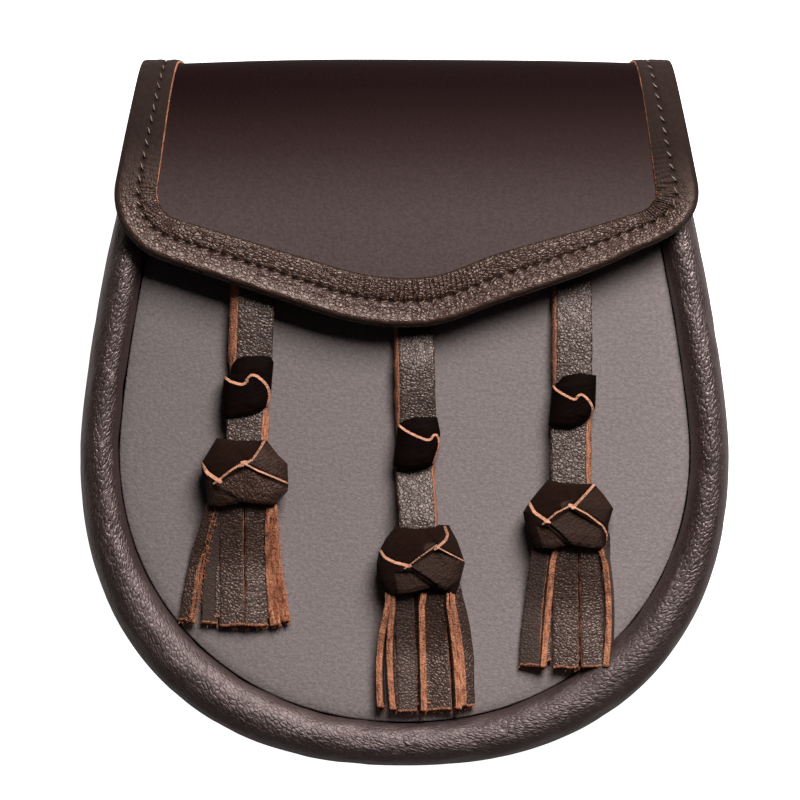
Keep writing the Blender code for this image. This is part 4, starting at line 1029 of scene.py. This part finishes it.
SMALL_KNOTS = (
    SmallKnot(
        "left", -44.3, 6.8,
        ((8.9, -3.2), (6.3, -4.9), (4.0, -5.4), (3.2, -7.1), (-3.1, -7.7), (-8.7, -7.4)),
        ((8.6, 6.5), (7.4, 7.1), (2.0, 6.6), (-1.1, 6.4), (-3.5, 6.1), (-5.1, 5.6), (-6.8, 4.0),
         (-7.4, 3.4)),
        ((-3.7, 8.3), (-1.2, 9.0), (4.7, 9.2), (6.7, 8.6)),
        ((-7.4, -8.7), (-2.0, -7.9), (3.4, -6.9), (5.1, -5.1)),
        (Lap(((4.9, -5.6), (5.6, -2.8), (5.5, -0.9), (4.8, 0.7), (3.6, 2.0), (2.1, 3.2), (0.7, 3.4),
              (0.0, 2.6), (-0.4, 1.3), (-1.7, 0.6), (-3.3, 0.9), (-5.4, 1.6), (-8.0, 3.4)), 1.3, 0.85),),
    ),
    SmallKnot(
        "middle", 3.7, -8.8,
        ((7.1, -3.8), (6.0, -4.4), (5.4, -5.6), (-5.7, -7.0), (-6.6, -6.8)),
        ((7.4, 5.6), (3.1, 6.5), (-0.9, 6.4), (-4.3, 5.4), (-6.0, 4.7)),
        ((-4.4, 6.2), (-0.4, 7.4), (5.4, 7.4)),
        ((-7.0, -6.6), (-1.8, -7.4), (2.1, -6.6), (4.7, -5.7)),
        (Lap(((4.4, -5.5), (5.3, -2.8), (5.9, -0.8), (5.8, 1.1), (5.2, 2.2), (4.7, 2.0), (4.4, 1.2),
              (3.5, 0.5), (2.2, 0.6), (-0.5, 1.7), (-3.3, 3.1), (-6.4, 5.4)), 1.2, 0.75),),
    ),
    SmallKnot(
        "right", 47.6, 3.3,
        ((7.0, -2.7), (5.2, -4.1), (4.2, -5.6), (-7.0, -6.7)),
        ((7.2, 7.0), (3.0, 6.9), (-2.0, 6.7), (-4.2, 5.7), (-6.1, 4.1)),
        ((-3.3, 6.7), (2.1, 7.8), (7.2, 7.1)),
        ((-6.7, -7.0), (-0.1, -7.5), (4.3, -6.0)),
        (Lap(((5.1, -4.6), (5.7, -3.2), (5.5, -1.7), (4.7, -0.3), (3.5, 0.9), (2.6, 1.5), (1.8, 1.0),
              (1.4, 0.1), (0.5, -0.1), (-1.0, 0.6), (-2.7, 1.5), (-4.6, 2.7), (-6.2, 4.5)), 1.2, 0.75),),
    ),
)


def lap_marks(points, lap):
    """How one lap raises points of a knot's face, cuts them raw, and shades them."""
    line = resampled(np.array(lap.line, dtype=float), LAP_STEP)
    for _ in range(3):
        line[1:-1] = (line[:-2] + line[1:-1] + line[2:]) / 3
    way = np.gradient(line, axis=0)
    way /= np.linalg.norm(way, axis=1)[:, None]
    nearest = np.full(len(points), np.inf)
    which = np.zeros(len(points), dtype=int)
    for i, spot in enumerate(line):
        off = np.hypot(*(points - spot).T)
        closer = off < nearest
        nearest[closer], which[closer] = off[closer], i
    to = points - line[which]
    across = way[which, 0] * to[:, 1] - way[which, 1] * to[:, 0]
    past = np.abs((way[which] * to).sum(axis=1))
    near = np.exp(-((np.maximum(past - 0.3, 0) / 0.8) ** 2))
    beyond = np.maximum(-across - lap.raw, 0)
    high = 0.5 * np.exp(-np.maximum(across, 0) / LAP_REACH)
    low = -0.5 * np.exp(-beyond / LAP_REACH)
    bevel = np.clip(-across / max(lap.raw, CREASE_WIDTH), 0, 1)
    raised = lap.step * near * (high * (1 - bevel) + low * bevel)
    strip = 0.0
    if lap.raw:
        strip = smooth_step((-across + 0.1) / 0.15) * smooth_step((lap.raw + across) / 0.15)
    shade = np.exp(-((beyond / LAP_SHADE) ** 2)) * smooth_step(-across / 0.1)
    return raised, strip * near, shade * near


def facet_share(x, y, facet):
    """1 where the point is inside the facet, down to 0 just outside it."""
    corners = np.array(facet.corners, dtype=float)
    share = 1.0
    for start, end in zip(corners, np.roll(corners, -1, axis=0)):
        way = (end - start) / np.linalg.norm(end - start)
        share = share * smooth_step((way[0] * (y - start[1]) - way[1] * (x - start[0])) / 0.9 + 0.5)
    return share


def folded_knot(name, knot, z, depth, form, step, flat_turn=0.0, facets=()):
    """A knot: a squarish barrel inside its outline, with laps and plane facets on its face.

    Form is how deep it is from its top down to its foot. Step is its mesh size, and flat_turn sets
    its grain apart from the other knots'.
    """
    rows = round((knot.top[0][1] - knot.foot[0][1]) / step)
    face_count = round((max(b for _, b in knot.right) - min(b for _, b in knot.left)) / step)
    down = np.linspace(0, 1, rows)[:, None]
    out, lift = rounded_square(np.linspace(math.pi, 0, face_count), KNOT_SQUARENESS)
    left, right = np.array(knot.left)[::-1], np.array(knot.right)[::-1]
    top, foot = np.array(knot.top), np.array(knot.foot)
    face_x = np.broadcast_to(out * max(-left[:, 1].min(), right[:, 1].max()), (rows, face_count))
    for _ in range(6):
        high, low = np.interp(face_x, *top.T), np.interp(face_x, *foot.T)
        face_y = high + (low - high) * down
        start, end = np.interp(face_y, *left.T), np.interp(face_y, *right.T)
        face_x = (start + end) / 2 + (end - start) / 2 * out
    deep = np.interp(down, *np.array(form).T) * depth / 2
    face_z = deep * lift
    spots = np.column_stack((face_x.ravel(), face_y.ravel()))
    raised, strip, shade = (sum(values) for values in zip(*(lap_marks(spots, lap) for lap in knot.laps)))
    facing = np.clip(lift * 1.4 - 0.2, 0.25, 1.0)
    face_z = face_z + raised.reshape(rows, -1) * facing
    grainy = np.zeros(face_x.shape)
    for facet in facets:
        middle_x, middle_y = np.mean(facet.corners, axis=0)
        share = facet_share(face_x, face_y, facet)
        tilt = facet.lean_x * (middle_x - face_x) + facet.lean_y * (middle_y - face_y)
        face_z = face_z + share * facing * tilt
        grainy = np.maximum(grainy, share * facet.grain)
    round_back = np.linspace(0, 1, KNOT_BACK_COLUMNS + 2)[1:-1]
    back_out, back_lift = rounded_square(-math.pi * round_back, KNOT_SQUARENESS)
    back_x = (start[:, :1] + end[:, -1:]) / 2 + (end[:, -1:] - start[:, :1]) / 2 * back_out
    back_y = face_y[:, -1:] + (face_y[:, :1] - face_y[:, -1:]) * round_back
    rings = np.stack((np.concatenate((face_x, back_x), axis=1) + knot.x,
                      np.concatenate((face_y, back_y), axis=1) + knot.y,
                      np.concatenate((face_z, deep * back_lift), axis=1) + z), axis=-1)

    def closed_in(ring, *scales):
        middle = ring.mean(axis=0)
        return [middle + (ring - middle) * scale for scale in scales]

    rings = np.concatenate((closed_in(rings[0], *KNOT_ENDS), rings, closed_in(rings[-1], *KNOT_ENDS[::-1])))
    marks = {}
    for mark, values in (("cut", strip), ("crease", shade), ("grain", grainy)):
        marks[mark] = np.pad(values.reshape(rows, -1), ((len(KNOT_ENDS),) * 2, (0, KNOT_BACK_COLUMNS)))
    return skin(name, rings, front_view(rings) + 40.0 * flat_turn, **marks)


def knot_finish(name, hide, worn, roughness, gloss):
    """Dark hide, smooth where its mark called grain is low, with a raw core where it is cut."""
    finish, tree, shader, _ = start_finish(name, gloss, WARM_SHEEN)
    where, cut, grained, creased = hide_marks(tree)
    pebbles = use_group(tree, pebble, {"Place": where, "Cell": 1.0, "Warp": 0.5})
    core = use_group(tree, raw_core, {"Place": where, "Cut": cut})
    streaks = speckle(tree, drawn_out(tree, where, (2.6, 0.5, 1.0), 0.5), 1.1, 3.0)
    tone = blend_colours(tree, grained, (*hide, 1), (*worn, 1))
    streaky = spread(tree, streaks, 0.35, 0.65, 0.75, 1.3)
    streaky = place(tree, "ShaderNodeCombineXYZ", {"X": streaky, "Y": streaky, "Z": streaky}).outputs[0]
    tone = blend_colours(tree, 1.0, tone, streaky, "MULTIPLY")
    # Painted shade: the mark for painted shade darkens the colour towards KNOT_SHADE.
    dark = blend_colours(tree, sum_up(tree, "MULTIPLY", creased, 0.9), tone, KNOT_SHADE)
    pale = blend_colours(tree, 0.35, core["Color"], KNOT_RAW)
    wire(tree, shader["Base Color"], blend_colours(tree, core["Shows"], dark, pale))
    rough = sum_up(tree, "MULTIPLY_ADD", grained, 0.38 - roughness, roughness)
    rough = sum_up(tree, "MAXIMUM", rough, sum_up(tree, "MULTIPLY", core["Shows"], 0.9))
    wire(tree, shader["Roughness"], rough)
    height = sum_up(tree, "ADD", sum_up(tree, "MULTIPLY", pebbles["Height"], grained), streaks)
    height = sum_up(tree, "ADD", height, sum_up(tree, "MULTIPLY", core["Height"], core["Shows"]))
    emboss(tree, shader, height, 0.25)
    return finish


small_knot_hide = knot_finish("small knot dark hide", SMALL_KNOT_HIDE, SMALL_KNOT_WORN,
                              roughness=0.7, gloss=0.05)
for knot in SMALL_KNOTS:
    piece = folded_knot(f"strap_knot_{knot.side}_leather", knot, SMALL_KNOT_Z, SMALL_KNOT_DEPTH,
                        SMALL_FORM, 0.15)
    fit(piece, small_knot_hide, "knot_leather", f"strap_knot_{knot.side}")


# ---------------------------------------------------------------------------------------------
# Tassel knots. The strap's end is slit, wound round and woven over and under itself, so that four
# facets of dark hide lap each other, most with a thin raw edge.
# ---------------------------------------------------------------------------------------------

TasselKnot = namedtuple("TasselKnot", "side x y left right top foot laps facets")
TASSEL_FORM = ((0.0, 0.60), (0.08, 0.76), (0.25, 0.93), (0.5, 1.0), (0.8, 0.96), (0.94, 0.86), (1.0, 0.74))
# Facets marked with grain take the paler second colour and a glossier finish; the rest of a knot, its top
# band most of all, stays nearly black.
TASSEL_KNOT_HIDE, TASSEL_KNOT_FACET_TONE = (0.0100, 0.0027, 0.0011), (0.040, 0.0190, 0.0125)
TASSEL_KNOTS = (
    TasselKnot(
        "left", -45.3, -17.6,
        ((10.2, -8.1), (6.5, -10.4), (2.9, -12.6), (-1.2, -12.1), (-4.9, -11.0), (-9.5, -10.6)),
        ((9.6, 6.1), (5.5, 9.3), (2.9, 12.0), (-2.9, 12.3), (-4.9, 12.1), (-7.5, 9.8), (-9.5, 8.4)),
        ((-8.1, 10.2), (-5.0, 8.5), (0.1, 7.9), (4.4, 8.5), (6.1, 9.6)),
        ((-10.7, -9.5), (-6.7, -9.2), (0.1, -7.9), (4.7, -8.6), (8.4, -9.5)),
        (Lap(((-7.7, -2.3), (-11.0, -0.1), (-13.4, 3.4)), 1.5, 1.1),
         Lap(((-0.2, 3.1), (-3.9, 0.8), (-8.2, -2.6)), 1.3, 0.65),
         Lap(((6.2, 10.0), (4.4, 6.8), (2.4, 3.9), (-0.4, 2.3)), 1.3, 0.75),
         Lap(((13.0, -3.2), (8.4, -1.2), (3.5, 0.8), (-0.4, 2.9)), 1.2, 0.55),
         Lap(((0.3, -8.4), (-2.7, -6.9), (-7.2, -6.0)), 0.6, 0.0)),
        (Facet(((-8.2, -2.8), (0.6, -8.8), (9.6, -8.5), (12.5, -4.2), (0.2, 2.2)), 0.0, 0.22, 1.0),
         Facet(((0.4, 3.0), (12.8, -3.0), (11.6, 5.0), (6.4, 9.0)), 0.10, 0.12, 0.7),
         Facet(((-11.0, -9.0), (-0.5, -9.6), (-8.4, -3.2), (-11.4, -1.0)), 0.0, 0.05, 0.5)),
    ),
    TasselKnot(
        "middle", 4.4, -42.0,
        ((10.1, -6.5), (6.1, -9.7), (2.4, -11.7), (-1.6, -12.4), (-5.9, -11.7), (-9.3, -10.2)),
        ((9.5, 8.4), (5.5, 10.6), (2.7, 11.6), (-0.9, 12.8), (-5.3, 11.7), (-10.2, 10.2)),
        ((-6.5, 10.1), (-3.7, 8.9), (1.2, 8.7), (5.1, 9.5), (8.3, 9.8)),
        ((-10.2, -9.3), (-6.3, -9.9), (-2.5, -9.3), (1.4, -8.2), (5.4, -7.3), (7.7, -8.7), (10.2, -10.2)),
        (Lap(((-3.4, -2.0), (-7.4, -1.0), (-10.2, 0.4), (-12.2, 3.2)), 1.4, 0.85),
         Lap(((4.2, 3.7), (0.0, 0.7), (-3.8, -2.2)), 1.2, 0.4),
         Lap(((7.2, 9.8), (8.3, 7.2), (7.7, 5.5), (5.0, 3.1)), 1.3, 0.85),
         Lap(((13.6, -1.0), (8.6, 1.5), (5.1, 3.4)), 1.1, 0.4),
         Lap(((-2.4, -2.1), (1.4, -4.5), (5.8, -7.7)), 1.0, 0.0)),
        (Facet(((-3.4, -2.6), (6.6, -9.6), (12.8, -4.0), (13.0, -0.8), (4.6, 2.8)), 0.05, 0.20, 0.55),
         Facet(((-6.5, -10.0), (4.0, -8.6), (-1.8, -3.4), (-7.0, -3.6)), 0.0, 0.20, 0.5),
         Facet(((4.2, 3.8), (13.0, 0.0), (10.0, 8.0), (7.8, 9.0)), 0.10, 0.10, 0.1),
         Facet(((0.8, 1.2), (4.5, 3.6), (4.7, 5.6), (1.3, 4.4)), 0.0, 0.40, 0.5)),
    ),
    TasselKnot(
        "right", 46.7, -29.8,
        ((10.7, -5.8), (7.3, -8.7), (4.2, -11.2), (1.3, -13.0), (-4.4, -11.9), (-8.7, -10.4)),
        ((9.3, 7.3), (6.4, 9.9), (2.4, 12.7), (-2.3, 11.3), (-5.3, 11.3), (-9.5, 10.2)),
        ((-5.8, 10.4), (-3.8, 9.0), (1.9, 8.7), (7.3, 9.3)),
        ((-10.4, -8.7), (-5.2, -9.0), (0.5, -7.8), (5.6, -8.7), (10.2, -9.5)),
        (Lap(((-6.3, -1.6), (-10.1, 1.0), (-12.2, 4.8)), 1.4, 0.95),
         Lap(((0.4, 3.0), (-3.5, 1.0), (-6.8, -1.8)), 1.2, 0.55),
         Lap(((7.9, 9.4), (4.7, 5.9), (1.6, 2.6)), 1.3, 0.8),
         Lap(((10.6, -8.9), (10.7, -5.0), (9.5, -2.7), (5.0, 0.7), (0.6, 3.0)), 1.1, 0.55),
         Lap(((-5.2, -2.1), (-2.1, -4.7), (1.0, -8.1)), 1.0, 0.0)),
        (Facet(((-6.2, -2.4), (1.4, -9.6), (9.8, -8.8), (9.0, -3.2), (0.2, 2.2)), 0.05, 0.20, 0.55),
         Facet(((-7.5, -9.6), (-0.5, -8.8), (-6.0, -3.0), (-9.0, -2.4)), 0.0, 0.20, 0.55),
         Facet(((1.4, 3.0), (10.2, -2.0), (12.0, 3.0), (8.4, 9.0)), 0.10, 0.10, 0.35),
         Facet(((-2.7, 1.4), (0.7, 3.3), (1.3, 5.4), (-2.2, 4.2)), 0.0, 0.40, 0.5)),
    ),
)

tassel_knot_hide = knot_finish("tassel knot dark hide", TASSEL_KNOT_HIDE, TASSEL_KNOT_FACET_TONE,
                               roughness=1.0, gloss=0.22)
for number, knot in enumerate(TASSEL_KNOTS):
    piece = folded_knot(f"tassel_knot_{knot.side}_leather", knot, TASSEL_KNOT_Z, TASSEL_KNOT_DEPTH,
                        TASSEL_FORM, 0.18, number + 1.0, knot.facets)
    fit(piece, tassel_knot_hide, "knot_leather", f"tassel_knot_{knot.side}")


# ---------------------------------------------------------------------------------------------
# Tassels. Each is a bunch of hide strips cut square, about 34 mm long, held in the knot. Some lie
# face up, some stand on edge and show their raw orange side. Their ends are ragged with fibres.
# ---------------------------------------------------------------------------------------------

Strip = namedtuple("Strip", "root tip bow root_width tip_width turn lift length raw shade", defaults=(0.0,))
STRIP_THICKNESS, STRIP_ROOM, STRIP_STATIONS, STRIP_WAVER, STRIP_CROWN = 1.9, 4.0, 70, 0.22, 0.1
STRIP_RAGGED, STRIP_LAYER, HIDDEN_LAYER, TASSEL_ROOT_Y = 0.7, 0.35, -3.4, -8.6
FIBRE_LENGTH, FIBRE_WIDTH, FIBRE_SPREAD, FIBRE_SEED = 1.6, 0.30, 0.7, 31
END_FIBRES, SIDE_FIBRES, FRAYED_FROM, FRAYED_LINES = 16, 45, 12, (-0.3, 0.1, 0.4)
STRIP_HIDE, STRIP_WORN = (0.046, 0.0195, 0.0125), (0.068, 0.036, 0.025)
# The last value of a row, where given, is painted shade that darkens and dulls the strip's face.
TASSEL_STRIPS = {
    "left": (
        Strip(-8.0, -16.4, -2.2, 4.0, 4.6, 20, 0.5, 33.4, False),
        Strip(-7.8, -15.4, -1.9, 1.7, 2.3, 30, 1.0, 33.0, True),
        Strip(-7.9, -10.3, -0.6, 3.2, 4.8, -4, 0.4, 34.0, False, 0.75),
        Strip(-4.0, -3.7, 0.0, 6.8, 7.2, 6, 1.2, 34.6, False),
        Strip(3.0, 3.0, 0.2, 6.4, 6.8, -11, 1.5, 34.6, False),
        Strip(8.2, 11.2, -0.6, 1.8, 3.0, 25, 0.5, 33.4, True),
        Strip(7.2, 8.4, -0.8, 2.2, 3.2, -6, 1.2, 34.4, True),
    ),
    "middle": (
        Strip(9.2, 13.4, 2.0, 3.6, 4.2, -35, 0.3, 33.0, False),
        Strip(-7.0, -11.0, -2.4, 4.6, 4.6, -84, 1.3, 33.6, False),
        Strip(-6.3, -7.3, -1.6, 4.6, 4.6, -82, 1.4, 34.0, False),
        Strip(-4.6, -3.5, 0.0, 5.4, 5.6, -3, 1.2, 34.6, False, 0.15),
        Strip(3.4, 5.4, 0.3, 7.0, 7.4, 8, 1.0, 34.2, False),
        Strip(0.0, 0.8, 0.0, 4.4, 4.6, 80, 1.7, 34.6, False),
        Strip(6.6, 10.6, 1.3, 4.4, 4.4, 78, 1.0, 33.8, False),
        Strip(7.4, 12.0, 1.7, 4.4, 4.4, 80, 0.5, 33.2, False),
    ),
    "right": (
        Strip(-7.4, -10.9, -1.0, 4.8, 6.2, 17, 0.9, 33.8, False, 0.5),
        Strip(-4.6, -7.6, -0.4, 4.4, 4.6, 78, 1.2, 34.2, False),
        Strip(-0.9, -0.7, 0.0, 7.0, 7.2, 2, 2.2, 34.4, False),
        Strip(6.0, 6.9, 0.2, 6.4, 6.8, -9, 3.0, 34.2, False),
        Strip(9.4, 11.0, 1.8, 4.2, 4.4, -80, 2.8, 34.2, False),
    ),
}
HIDDEN_STRIPS = tuple(Strip(x * 0.9, x, 0.0, 3.4, 3.8, 0, 0.4, 32.5, False) for x in (-7, -2.3, 2.3, 7))


def fibre_finish():
    """Raw hide, dull and uneven, for single fibres."""
    finish, tree, shader, where = start_finish("raw hide fibres", 0.2)
    wire(tree, shader["Base Color"], blend_colours(tree, speckle(tree, where, 0.6), RAW_DARK, RAW_LIGHT))
    wire(tree, shader["Roughness"], 0.9)
    return finish


def fibre_tree(finish):
    """Geometry Nodes: loose fibres at random along lines whose points carry the way they stand."""
    tree, given, kept = start_group("loose fibres", {
        "Points": "Geometry", "Length": "Float", "Width": "Float", "Spread": "Float", "Seed": "Int",
    }, {"Fibres": "Geometry"}, "GeometryNodeTree")
    up = place(tree, "GeometryNodeInputNamedAttribute", {"Name": "up"}, data_type="FLOAT_VECTOR")
    aimed = place(tree, "FunctionNodeAlignRotationToVector", {"Vector": up.outputs[0]}, axis="Z").outputs[0]
    tilt = place(tree, "FunctionNodeRandomValue", {0: (-1.0, -1.0, -1.0), "Seed": given["Seed"]},
                 data_type="FLOAT_VECTOR").outputs[0]
    aimed = place(tree, "FunctionNodeRotateRotation",
                  {"Rotation": aimed, "Rotate By": scaled(tree, tilt, given["Spread"])},
                  rotation_space="LOCAL").outputs[0]
    share = place(tree, "FunctionNodeRandomValue", {2: 0.25, "Seed": given["Seed"]}, data_type="FLOAT")
    long = sum_up(tree, "MULTIPLY", share.outputs[1], given["Length"])
    size = place(tree, "ShaderNodeCombineXYZ", {"X": given["Width"], "Y": given["Width"], "Z": long})
    fibre = place(tree, "GeometryNodeMeshCone",
                  {"Vertices": 4, "Radius Top": 0.15, "Radius Bottom": 0.5, "Depth": 1.0}).outputs[0]
    laid = place(tree, "GeometryNodeInstanceOnPoints",
                 {"Points": given["Points"], "Instance": fibre, "Rotation": aimed,
                  "Scale": size.outputs[0]}).outputs[0]
    real = place(tree, "GeometryNodeRealizeInstances", {"Geometry": laid}).outputs[0]
    real = place(tree, "GeometryNodeSetMaterial", {"Geometry": real, "Material": finish}).outputs[0]
    wire(tree, kept[0], real)
    return tree


def fray(name, lines):
    """Loose fibres scattered along lines of (start, end, way up, count)."""
    chance = np.random.default_rng(FIBRE_SEED)
    spots, ways = [], []
    for start, end, up, count in lines:
        share = chance.random(count)[:, None]
        spots.append(start + (end - start) * share + chance.normal(0, 0.15, (count, 3)) * (1, 1, 0.5))
        ways.append(np.tile(up, (count, 1)))
    sizes = {"Length": FIBRE_LENGTH * MM, "Width": FIBRE_WIDTH * MM, "Spread": FIBRE_SPREAD,
             "Seed": FIBRE_SEED}
    grow(name, np.concatenate(spots), [], np.concatenate(ways), loose_fibres, sizes)


strip_hide = grained_finish("strip grained hide", STRIP_HIDE, STRIP_WORN, cell=0.95, depth=0.175,
                            roughness=0.49, gloss=0.80, index=1.65, sheen=RUSSET_SHEEN)
loose_fibres = fibre_tree(fibre_finish())
for knot in TASSEL_KNOTS:
    root_y = knot.y + TASSEL_ROOT_Y
    bunch = HIDDEN_STRIPS + TASSEL_STRIPS[knot.side]
    pieces, frayed = [], []
    for number, strip in enumerate(bunch):
        in_view = number - len(HIDDEN_STRIPS)
        share = np.linspace(0, 1, STRIP_STATIONS)
        fan = smooth_step(share * 0.5 + 0.06) / smooth_step(0.56) - 0.06 * (1 - share)
        x = knot.x + strip.root + (strip.tip - strip.root) * fan + strip.bow * np.sin(math.pi * share)
        y = root_y + STRIP_ROOM - (strip.length + STRIP_ROOM) * share
        layer = STRIP_LAYER * in_view if in_view >= 0 else HIDDEN_LAYER
        root_z = TASSEL_KNOT_Z + 0.6 + 0.35 * layer
        tip_z = PANEL_FACE_Z + 0.6 * strip.lift + STRIP_THICKNESS / 2
        z = root_z + (tip_z - root_z) * smooth_step(share * 1.6) + 0.6 * np.maximum(share - 0.5, 0)
        width = strip.root_width + (strip.tip_width - strip.root_width) * share
        roll = math.radians(strip.turn) * smooth_step(share * 3 + 0.3)
        pieces.append(ribbon(f"tassel_{knot.side}_strip_{number}", np.column_stack((x, y, z)), width,
                             STRIP_THICKNESS, roll, waver=STRIP_WAVER, crown=STRIP_CROWN,
                             all_raw=strip.raw, seed=2.0 + number + knot.x, ragged=STRIP_RAGGED,
                             shade=strip.shade))
        if in_view < 0:
            continue
        end = np.array((x[-1], y[-1], z[-1] - 0.2))
        half_across = abs(width[-1] * math.cos(roll[-1])) / 2 + 0.3
        frayed.append((end - (half_across, 0, 0), end + (half_across, 0, 0), (0.0, -1.0, 0.25), END_FIBRES))
        if strip.raw:
            for off in FRAYED_LINES:
                start, stop = (np.array((x[at] + off * width[at], y[at], z[at] + STRIP_THICKNESS / 2 - 0.1))
                               for at in (FRAYED_FROM, -1))
                frayed.append((start, stop, (0.4, -0.3, 0.8), SIDE_FIBRES))
    for number, piece in enumerate(pieces):
        fit(piece, strip_hide, "grained_leather", *((f"tassel_{knot.side}",) if number == 0 else ()))
    fray(f"tassel_{knot.side}_fibres", frayed)


# ---------------------------------------------------------------------------------------------
# Studio. A plain pale floor, one soft box above and beyond the pouch's top, a little to its right,
# and a long lens straight over the pouch.
# ---------------------------------------------------------------------------------------------

CAMERA_X, CAMERA_Y, CAMERA_HEIGHT = -1.28, 3.42, 3000.0
FRAME_WIDTH, FOCUS_Z, SENSOR = 228.0, 33.0, 36.0
FLOOR_SIZE, FLOOR_GLOW, FLOOR_LIT, ROOM_GLOW = 8.0, 0.05, 1.1, 0.02  # metres, then strengths
FLOOR_TONE, PAPER_DARK, PAPER_LIGHT = (0.55, 0.55, 0.55, 1), (0.86, 0.86, 0.86, 1), (0.90, 0.90, 0.90, 1)
WHITE = (1, 1, 1, 1)
BOX_AT, BOX_AIM, BOX_SIZE, BOX_POWER = (0.243, 0.546, 0.70), (0.0, 0.0, 0.03), 0.46, 13.5  # metres, watts

half = FLOOR_SIZE / 2
corners = [(-half, -half, 0), (half, -half, 0), (half, half, 0), (-half, half, 0)]
floor_mesh = bpy.data.meshes.new("floor")
floor_mesh.from_pydata(corners, [], [(0, 1, 2, 3)])
floor = set_out("floor", floor_mesh)
paper, tree, shader, where = start_finish("pale floor")
seen = place(tree, "ShaderNodeLightPath").outputs["Is Camera Ray"]
sheet = blend_colours(tree, speckle(tree, where, 4.0), PAPER_DARK, PAPER_LIGHT)
wire(tree, shader["Base Color"], blend_colours(tree, seen, FLOOR_TONE, sheet))
wire(tree, shader["Roughness"], 0.9)
wire(tree, shader["Emission Color"], WHITE)
wire(tree, shader["Emission Strength"], sum_up(tree, "MULTIPLY_ADD", seen, FLOOR_LIT, FLOOR_GLOW))
floor.data.materials.append(paper)

lamp = bpy.data.lights.new("key_box", "AREA")
lamp.shape = "SQUARE"
lamp.size, lamp.energy = BOX_SIZE, BOX_POWER
box = set_out("key_box", lamp)
box.location = BOX_AT
aim = Vector([there - here for there, here in zip(BOX_AIM, BOX_AT)])
box.rotation_euler = aim.to_track_quat("-Z", "Y").to_euler()
box.visible_camera = False

world = bpy.data.worlds.new("studio")
bpy.context.scene.world = world
world.use_nodes = True
sky = world.node_tree.nodes["Background"].inputs
wire(world.node_tree, sky["Color"], WHITE)
wire(world.node_tree, sky["Strength"], ROOM_GLOW)

lens = bpy.data.cameras.new("camera")
lens.sensor_width = SENSOR
lens.lens = SENSOR * (CAMERA_HEIGHT - FOCUS_Z) / FRAME_WIDTH
camera = set_out("camera", lens)
camera.location = (CAMERA_X * MM, CAMERA_Y * MM, CAMERA_HEIGHT * MM)
bpy.context.scene.camera = camera
bpy.context.scene.view_settings.view_transform = "Standard"
